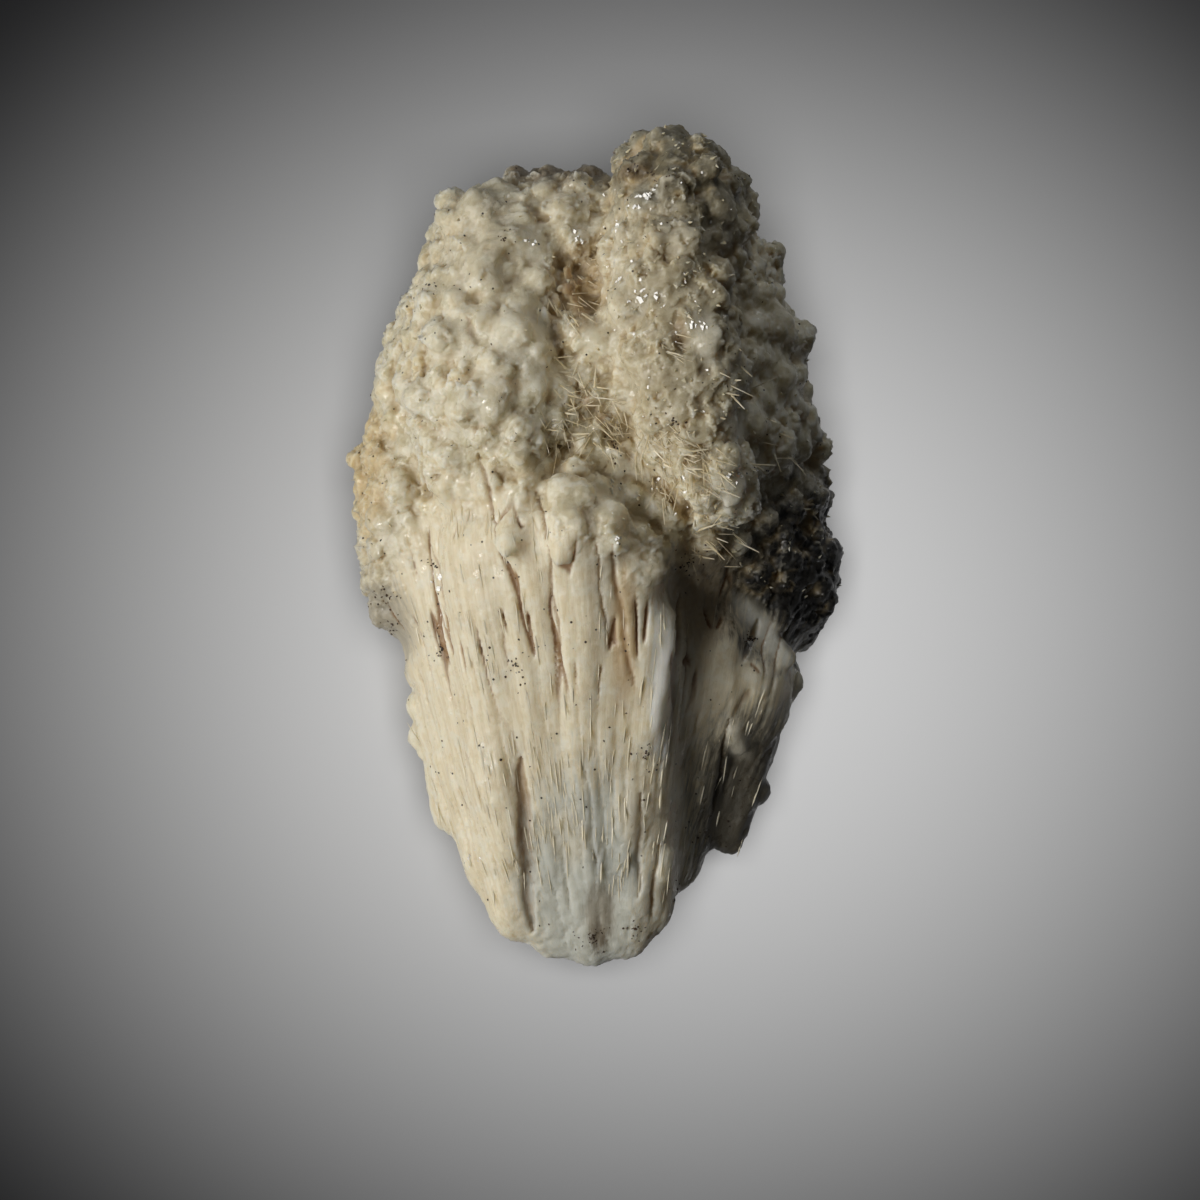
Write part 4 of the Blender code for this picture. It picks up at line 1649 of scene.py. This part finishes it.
@dataclass
class Pepper:
    """Dark grains that are caught in the surface, alone and in small groups."""

    surface: Surface
    count: int = 520
    size: tuple[float, float] = (0.05, 0.2)
    seed: int = 51
    groups: tuple[tuple[tuple[float, float], float, int], ...] = (
        ((-9.6, -13.6), 2.4, 26),
        ((-25.6, -5.4), 1.8, 22),
        ((-24.8, -8.8), 1.6, 18),
        ((-0.6, -46.4), 1.6, 34),
        ((4.6, -45.4), 1.8, 22),
        ((5.6, -24.0), 2.2, 26),
        ((-18.6, -12.0), 2.4, 18),
        ((8.6, 14.6), 1.6, 12),
        ((1.8, 12.0), 2.0, 16),
        ((-11.0, 36.0), 2.2, 12),
        ((-19.8, 31.0), 1.8, 12),
        ((6.4, 42.6), 2.0, 14),
        ((16.6, 43.4), 1.6, 10),
        ((-19.4, -1.6), 1.4, 10),
        ((10.6, -1.6), 2.2, 22),
        ((13.0, -34.0), 2.4, 20),
        ((9.6, -42.0), 2.4, 20),
        ((18.2, -10.6), 1.0, 30),
        ((4.4, 43.8), 1.4, 14),
    )

    def swarm(self) -> Swarm:
        """Sets the grains."""
        chance = np.random.default_rng(self.seed)
        surface = self.surface
        weights = np.clip(surface.centres[:, 2] / MM - 4, 0, 1)
        places, normals = surface.spread(chance, weights, self.count)
        spots = [(Vector(place), Vector(normal)) for place, normal in zip(places, normals)]
        rng = random.Random(self.seed)
        for (x, y), radius, count in self.groups:
            for _ in range(count):
                turn, far = rng.uniform(0, math.tau), abs(rng.gauss(0, radius * 0.6))
                found = surface.under(x + far * math.cos(turn), y + far * math.sin(turn))
                if found is not None:
                    spots.append(found)
        sizes = [
            Vector((rng.uniform(*self.size), rng.uniform(*self.size), rng.uniform(*self.size) * 0.7))
            for _ in spots
        ]
        rows = (
            np.array([spot[0] for spot in spots]),
            np.array([spot[1] for spot in spots]),
            np.array(sizes) * MM,
            np.array([rng.uniform(0, 6.3) for _ in spots]),
        )
        return Swarm("dark_grains", Grain.SPECK, *rows)


@dataclass(frozen=True)
class Patch:
    """A soft patch of another colour, which on some patches is painted shade: centre and half-sizes in
    millimetres, lean in degrees.
    """

    centre: Triple
    half_sizes: Triple
    colour: Colour
    strength: float
    lean: float = 0.0

    def amount(self, bench: NodeBench, place: Wire, ragged: Wire) -> Wire:
        """How much of the patch shows at a place; ragged is 0 to 1 and breaks its edge."""
        offset = bench.vector_maths("SUBTRACT", place, self.centre)[0]
        if self.lean:
            inputs = {"Vector": offset, "Angle": -math.radians(self.lean)}
            offset = bench.node("ShaderNodeVectorRotate", {"rotation_type": "Z_AXIS"}, inputs)[0]
        shares = bench.vector_maths("DIVIDE", offset, self.half_sizes)[0]
        far = bench.vector_maths("LENGTH", shares)[1] + (ragged - 0.5) * 0.9
        return (1 - bench.ease(far, 0.55, 1.15)) * self.strength


@dataclass(frozen=True)
class CalciteFinish:
    """Waxy, slightly clear calcite, cream to grey, brown in its hollows partly as stain and partly as
    painted shade, with painted shade and shadow on its right side.
    """

    cream: Colour = srgb(232, 222, 194)
    pale: Colour = srgb(226, 220, 198)
    straw: Colour = srgb(240, 231, 206)
    shade: Colour = srgb(229, 217, 188)
    white: Colour = srgb(238, 232, 212)
    # Tan and brown for creases and hollows: partly stain, partly painted shade.
    tan: Colour = srgb(196, 176, 136)
    brown: Colour = srgb(134, 110, 76)
    fan_origin: Triple = (0.5, -92.0, 9.0)
    blend: tuple[float, float] = (-3.0, 3.0)
    clear: Colour = srgb(204, 194, 162)
    honey: Colour = srgb(224, 208, 170)
    slit: Colour = srgb(150, 110, 66)
    patches: tuple[Patch, ...] = (
        Patch((10.0, 28.0, 30.0), (9.0, 22.0, 14.0), srgb(178, 166, 136), 0.78),
        # The next two patches are grey-brown on the crown: partly its tone, partly painted half-shade where
        # the top turns from the key light.
        Patch((9.0, 43.0, 24.0), (10.0, 9.0, 18.0), srgb(112, 105, 84), 0.88),
        Patch((3.6, 48.0, 22.0), (4.5, 3.4, 12.0), srgb(146, 142, 124), 0.7),
        Patch((-8.0, 36.0, 24.0), (16.0, 10.0, 16.0), srgb(208, 198, 172), 0.5),
        # Slightly darker left edge: partly its tone, partly painted shade that tones down the side the key
        # light faces.
        Patch((-28.0, 2.0, 10.0), (7.0, 22.0, 16.0), srgb(206, 196, 170), 0.7),
        Patch((-27.0, 9.5, 12.0), (5.0, 9.0, 14.0), srgb(214, 186, 134), 0.6),
        # Grey on the broken face under the left fold: partly its tone, partly painted shade.
        Patch((-25.5, -8.5, 12.0), (5.0, 8.0, 12.0), srgb(160, 154, 140), 0.75),
        Patch((-1.5, -40.0, 16.0), (8.5, 19.0, 16.0), srgb(198, 201, 193), 0.85),
        # Brown-grey on the saddle rim: partly its tone, partly painted shade on the dim top.
        Patch((-5.4, 45.4, 16.0), (8.0, 4.0, 12.0), srgb(112, 98, 82), 0.8),
        Patch((-2.2, 30.4, 20.0), (4.0, 6.5, 14.0), srgb(146, 112, 68), 0.8),
        Patch((0.0, -46.6, 12.0), (1.3, 2.4, 9.0), srgb(100, 84, 62), 0.6),
        # Brown in the recess under the end of the ridge: partly its colour, partly painted shadow.
        Patch((12.0, -4.0, 18.0), (6.5, 8.0, 10.0), srgb(168, 144, 106), 0.6),
        # Painted shadow: a near-black patch on the right flank, which lies in the shadow of the ridge.
        Patch((24.8, -1.6, 9.0), (13.2, 13.4, 22.0), srgb(11, 10, 9), 0.99),
        Patch((17.4, -11.4, 12.0), (1.5, 3.8, 9.0), srgb(24, 22, 20), 0.9, 38),
        Patch((19.6, -9.4, 13.0), (1.6, 6.2, 9.0), srgb(164, 170, 172), 0.9, 38),
        # Painted shade: a dark grey-brown patch on the lower right of the curtain, which turns away from
        # the key light.
        Patch((17.6, -30.0, 10.0), (8.0, 15.0, 16.0), srgb(58, 54, 46), 0.88),
        Patch((0.2, -43.5, 14.0), (2.2, 4.5, 12.0), srgb(136, 120, 94), 0.55),
        Patch((-3.4, -34.0, 18.0), (3.0, 4.0, 12.0), srgb(216, 208, 186), 0.6),
        Patch((4.4, -31.0, 18.0), (2.2, 5.0, 12.0), srgb(214, 204, 180), 0.6),
        Patch((3.0, -9.0, 26.0), (2.0, 10.0, 8.0), srgb(192, 160, 112), 0.65),
        Patch((9.2, 24.6, 26.0), (1.6, 3.0, 12.0), srgb(150, 116, 72), 0.7),
        Patch((4.4, 43.6, 26.0), (2.6, 1.6, 12.0), srgb(110, 90, 60), 0.7),
        Patch((7.4, -15.0, 20.0), (1.8, 10.0, 20.0), srgb(252, 251, 247), 0.96),
    )
    speck: Colour = srgb(54, 44, 34)

    def _streaks(self, bench: NodeBench, place: Wire) -> Wire:
        """Fine streaks along the fan, 0 to 1."""
        offset = bench.vector_maths("SUBTRACT", place, self.fan_origin)[0]
        reach = bench.vector_maths("LENGTH", offset)[1]
        heading = bench.vector_maths("NORMALIZE", offset)[0]
        lane = bench.scaled(heading, (105.0, 0.0, 105.0))
        along = bench.node("ShaderNodeCombineXYZ", {}, {"Y": reach * 0.06})[0]
        return bench.noise(bench.vector_maths("ADD", lane, along)[0], 1.7, 3.0, 0.6)

    def _specks(self, bench: NodeBench, place: Wire) -> Wire:
        """Tiny dark specks, 1 inside one."""
        inputs = {"Vector": place, "Scale": 0.75}
        cells = bench.node("ShaderNodeTexVoronoi", {}, inputs)
        near = 1 - bench.ease(cells["Distance"], 0.07, 0.13)
        chosen = bench.node("ShaderNodeSeparateColor", {}, {0: cells["Color"]})[0]
        return near * bench.ease(chosen, 0.78, 0.82)

    def material(self, name: str) -> bpy.types.Material:
        """Builds the material."""
        material = bpy.data.materials.new(name)
        material.use_nodes = True
        bench = NodeBench(material.node_tree)
        coordinate = bench.node("ShaderNodeTexCoord")["Object"]
        place = bench.scaled(coordinate, 1 / MM)
        opening = bench.node("ShaderNodeAttribute", {"attribute_name": "open"})["Fac"]
        depth = bench.node("ShaderNodeAttribute", {"attribute_name": "depth"})["Fac"]
        relief = bench.node("ShaderNodeAttribute", {"attribute_name": "relief"})["Fac"]
        crust = bench.ease(depth, *self.blend)
        broad = bench.noise(place, 0.13, 3.0, 0.6)
        patchy = bench.noise(place, 0.5, 3.0, 0.6)
        streaks = self._streaks(bench, place)
        colour = bench.mix(bench.ease(broad, 0.42, 0.6), self.cream, self.pale)
        curtain = bench.mix(bench.ease(streaks, 0.38, 0.62), self.straw, self.shade)
        colour = bench.mix(crust, curtain, colour)
        lumps = bench.noise(place, 0.3, 1.0)
        colour = bench.mix(bench.ease(lumps, 0.5, 0.62) * crust * 0.7, colour, self.clear)
        colour = bench.mix(bench.ease(lumps, 0.46, 0.34) * (0.25 + crust * 0.35), colour, self.honey)
        colour = bench.mix(bench.ease(patchy, 0.5, 0.66) * 0.8, colour, self.white)
        cut = bench.node("ShaderNodeAttribute", {"attribute_name": "cut"})["Fac"]
        colour = bench.mix(bench.ease(cut, 0.0, 0.4) * 0.6, colour, self.slit)
        swirl = bench.node("ShaderNodeTexNoise", {}, {"Vector": place, "Scale": 0.8})["Color"]
        warped = bench.vector_maths("ADD", place, bench.scaled(swirl, 1.6))[0]
        crystals = bench.node("ShaderNodeTexVoronoi", {}, {"Vector": warped, "Scale": 0.75})
        tint = bench.node("ShaderNodeSeparateColor", {}, {0: crystals["Color"]})[0]
        colour = bench.mix(bench.ease(tint, 0.6, 0.85) * crust * 0.6, colour, self.white)
        colour = bench.mix(bench.ease(tint, 0.4, 0.15) * crust * 0.6, colour, self.clear)
        ragged = streaks + (patchy - streaks) * crust
        for patch in self.patches:
            colour = bench.mix(patch.amount(bench, place, ragged), colour, patch.colour)
        calm = bench.node("ShaderNodeAttribute", {"attribute_name": "calm"})["Fac"]
        colour = bench.mix(calm * 0.6, colour, self.white)
        raised = bench.ease(relief, 0.25, 0.75) * 0.6
        colour = bench.mix(raised, colour, self.white)
        # Painted shade with brown stain: creases and hollows that see little sky turn tan, the deepest ones
        # brown.
        hollow_stain_and_painted_shade = (1 - bench.ease(opening, 0.15, 0.65)) * (0.2 + crust * 0.4)
        crease_stain_and_painted_shade = (1 - bench.ease(opening, 0.5, 0.92)) * (0.2 + crust * 0.55)
        colour = bench.mix(crease_stain_and_painted_shade, colour, self.tan)
        colour = bench.mix(hollow_stain_and_painted_shade, colour, self.brown)
        slit = bench.node("ShaderNodeAttribute", {"attribute_name": "slit"})["Fac"]
        colour = bench.mix(bench.ease(slit, 0.1, 0.8) * 0.85, colour, self.slit)
        colour = bench.mix(self._specks(bench, place), colour, self.speck)
        cells = bench.node("ShaderNodeTexVoronoi", {}, {"Vector": place, "Scale": 2.0})
        chosen = bench.node("ShaderNodeSeparateColor", {}, {0: cells["Color"]})[0]
        glint = bench.ease(chosen, 0.86, 0.92)
        roughness = 0.34 + bench.noise(place, 1.3, 2.0) * 0.32 - glint * 0.28
        lean = bench.vector_maths("SUBTRACT", cells["Color"], (0.5, 0.5, 0.5))[0]
        offset = bench.vector_maths("SUBTRACT", place, cells["Position"])[0]
        faces = bench.vector_maths("DOT_PRODUCT", lean, offset)[1] * 7.0 * crust
        fine = bench.noise(place, 5.0, 3.0, 0.6) * 0.6 + streaks * (1 - crust) + faces
        inputs = {"Strength": 0.5, "Distance": 0.1 * MM, "Height": fine}
        bump = bench.node("ShaderNodeBump", {}, inputs)[0]
        inputs = {
            "Base Color": colour,
            "Roughness": roughness,
            "Normal": bump,
            "IOR": 1.55,
            "Subsurface Weight": 0.9,
            "Subsurface Radius": (1.0, 0.9, 0.76),
            "Subsurface Scale": 2.6 * MM,
        }
        shader = bench.node("ShaderNodeBsdfPrincipled", {}, inputs)
        bench.node("ShaderNodeOutputMaterial", {}, {"Surface": shader[0]})
        return material


@dataclass(frozen=True)
class CrystalFinish:
    """Small clear-edged crystals: one colour that drifts a little, glossy."""

    colour: Colour
    other: Colour
    roughness: float = 0.25
    softness: float = 0.3

    def material(self, name: str) -> bpy.types.Material:
        """Builds the material."""
        material = bpy.data.materials.new(name)
        material.use_nodes = True
        bench = NodeBench(material.node_tree)
        place = bench.scaled(bench.node("ShaderNodeTexCoord")["Object"], 1 / MM)
        drift = bench.ease(bench.noise(place, 0.6, 2.0), 0.35, 0.65)
        inputs = {
            "Base Color": bench.mix(drift, self.colour, self.other),
            "Roughness": self.roughness + bench.noise(place, 2.0, 1.0) * 0.15,
            "IOR": 1.55,
            "Subsurface Weight": self.softness,
            "Subsurface Radius": (1.0, 0.8, 0.55),
            "Subsurface Scale": 0.6 * MM,
        }
        shader = bench.node("ShaderNodeBsdfPrincipled", {}, inputs)
        bench.node("ShaderNodeOutputMaterial", {}, {"Surface": shader[0]})
        return material


@dataclass
class Studio:
    """The floor, the lights and the camera that looks straight down."""

    aim: tuple[float, float] = (0.22, -5.90)
    view_width: float = 144.0
    level: float = 16.0
    lens: float = 100.0
    sensor: float = 36.0
    # The floor's painted shade darkens it from pale to dark grey away from its middle.
    floor_painted_shade: Colour = srgb(34, 34, 35)
    floor_pale: Colour = srgb(214, 214, 214)
    floor_shape: Triple = (1.0, 1.1, 1.0)
    floor_middle: Triple = (8.0, -10.0, 0.0)
    floor_painted_shade_reach: tuple[float, float] = (6.0, 123.0)

    def floor(self) -> bpy.types.Object:
        """Makes the pale floor, with painted shade that darkens it towards its rim."""
        bm = bmesh.new()
        bmesh.ops.create_circle(bm, cap_ends=True, segments=64, radius=3.0)
        mesh = bpy.data.meshes.new("floor")
        bm.to_mesh(mesh)
        bm.free()
        material = bpy.data.materials.new("studio_floor")
        material.use_nodes = True
        bench = NodeBench(material.node_tree)
        place = bench.scaled(bench.node("ShaderNodeTexCoord")["Object"], 1 / MM)
        place = bench.scaled(place, self.floor_shape)
        offset = bench.vector_maths("SUBTRACT", place, self.floor_middle)[0]
        far = bench.vector_maths("LENGTH", offset)[1]
        # Painted shade: the floor darkens with distance from a middle near the specimen, as light falls
        # off.
        colour = bench.mix(bench.ease(far, *self.floor_painted_shade_reach), self.floor_pale, self.floor_painted_shade)
        shader = bench.node("ShaderNodeBsdfDiffuse", {}, {"Color": colour})
        bench.node("ShaderNodeOutputMaterial", {}, {"Surface": shader[0]})
        mesh.materials.append(material)
        floor = bpy.data.objects.new("floor", mesh)
        bpy.context.scene.collection.objects.link(floor)
        floor.visible_diffuse = False
        floor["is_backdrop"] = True
        return floor

    def camera(self) -> None:
        """Sets the camera over the specimen."""
        data = bpy.data.cameras.new("camera")
        data.lens = self.lens
        data.sensor_width = self.sensor
        data.clip_start = 0.01
        camera = bpy.data.objects.new("camera", data)
        height = self.level + self.view_width * self.lens / self.sensor
        camera.location = Vector((*self.aim, height)) * MM
        bpy.context.scene.collection.objects.link(camera)
        bpy.context.scene.camera = camera

    def lamp(self, name: str, place: Triple, size: float, watts: float, colour: Colour) -> bpy.types.Object:
        """Adds an area lamp, in millimetres, that faces the specimen."""
        data = bpy.data.lights.new(name, "AREA")
        data.size = size * MM
        data.energy = watts
        data.color = colour
        lamp = bpy.data.objects.new(name, data)
        lamp.location = Vector(place) * MM
        lamp.rotation_euler = (-lamp.location).to_track_quat("-Z", "Y").to_euler()
        bpy.context.scene.collection.objects.link(lamp)
        return lamp

    def lights(self, floor: bpy.types.Object) -> None:
        """Lights the specimen from its left, and the floor from above."""
        key = self.lamp("key_light", (-560.0, -120.0, 520.0), 380.0, 4.8, (1.0, 0.975, 0.93))
        fill = self.lamp("soft_light", (160.0, 700.0, 290.0), 260.0, 0.9, (0.95, 0.97, 1.0))
        overhead = self.lamp("floor_light", (0.0, -60.0, 1100.0), 700.0, 12.0, (1.0, 1.0, 1.0))
        for lamps, listed in (((key, fill), "INCLUDE"), ((overhead,), "EXCLUDE")):
            for lamp in lamps:
                group = bpy.data.collections.new(lamp.name + "_reach")
                group.objects.link(floor)
                lamp.light_linking.receiver_collection = group
                excluded = "EXCLUDE" if listed == "INCLUDE" else "INCLUDE"
                group.collection_objects[0].light_linking.link_state = excluded
        world = bpy.data.worlds.new("studio")
        world.use_nodes = True
        bench = NodeBench(world.node_tree)
        seen = bench.node("ShaderNodeLightPath")["Is Camera Ray"]
        strength = 0.022 + seen * 0.588
        weak = bench.node("ShaderNodeBackground", {}, {"Color": (1, 1, 1, 1), "Strength": strength})
        bench.node("ShaderNodeOutputWorld", {}, {"Surface": weak[0]})
        bpy.context.scene.world = world
        bpy.context.scene.view_settings.view_transform = "Standard"


def shown(name: str, mesh: bpy.types.Mesh) -> bpy.types.Object:
    """Makes an object of a mesh and lets it ride on the specimen."""
    mesh.name = name
    item = bpy.data.objects.new(name, mesh)
    bpy.context.scene.collection.objects.link(item)
    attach(item, BODY)
    LOG.info("%s: %d faces", name, len(mesh.polygons))
    return item


def main() -> None:
    """Builds the specimen and its studio."""
    logging.basicConfig(level=logging.INFO)
    solid_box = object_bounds()
    started = time.time()
    mass = Mass()
    skin = Skin(mass)
    whole = skin.whole(CalciteFinish().material("calcite_skin"))
    LOG.info("skin made after %.0f s", time.time() - started)
    meshes = []
    for name, mesh in skin.pieces(whole):
        piece = shown(name, mesh)
        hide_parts(NODE)
        meshes.append(mesh)
    LOG.info("pieces parted after %.0f s", time.time() - started)
    surface = Surface(meshes)
    clear = CrystalFinish(srgb(214, 203, 174), srgb(200, 188, 158), 0.3, 0.7).material("sugar")
    fibre = CrystalFinish(srgb(240, 228, 198), srgb(232, 222, 196), 0.35).material("fibre")
    needle = CrystalFinish(srgb(240, 230, 202), srgb(224, 206, 166), 0.3).material("needle")
    bright = CrystalFinish(srgb(236, 234, 226), srgb(214, 212, 204), 0.12, 0.2).material("bright")
    dark = CrystalFinish(srgb(48, 39, 30), srgb(82, 64, 46), 0.4, 0.0).material("pepper")
    dressed = (
        (Sugar(surface).swarm(), clear),
        (Sparkles(surface).swarm(), bright),
        (CurtainFibres(surface, mass.fan_origin).swarm(), fibre),
        (Needles(surface).swarm(), needle),
        (Pepper(surface).swarm(), dark),
    )
    for swarm, material in dressed:
        shown(swarm.name, swarm.mesh(material))
    LOG.info("small crystals set after %.0f s", time.time() - started)
    studio = Studio()
    studio.lights(studio.floor())
    studio.camera()
    boxes = {"solid": solid_box, "dressed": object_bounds()}
    sizes = {key: [[float(c) for c in corner] for corner in box] for key, box in boxes.items()}


if __name__ == "__main__":
    main()
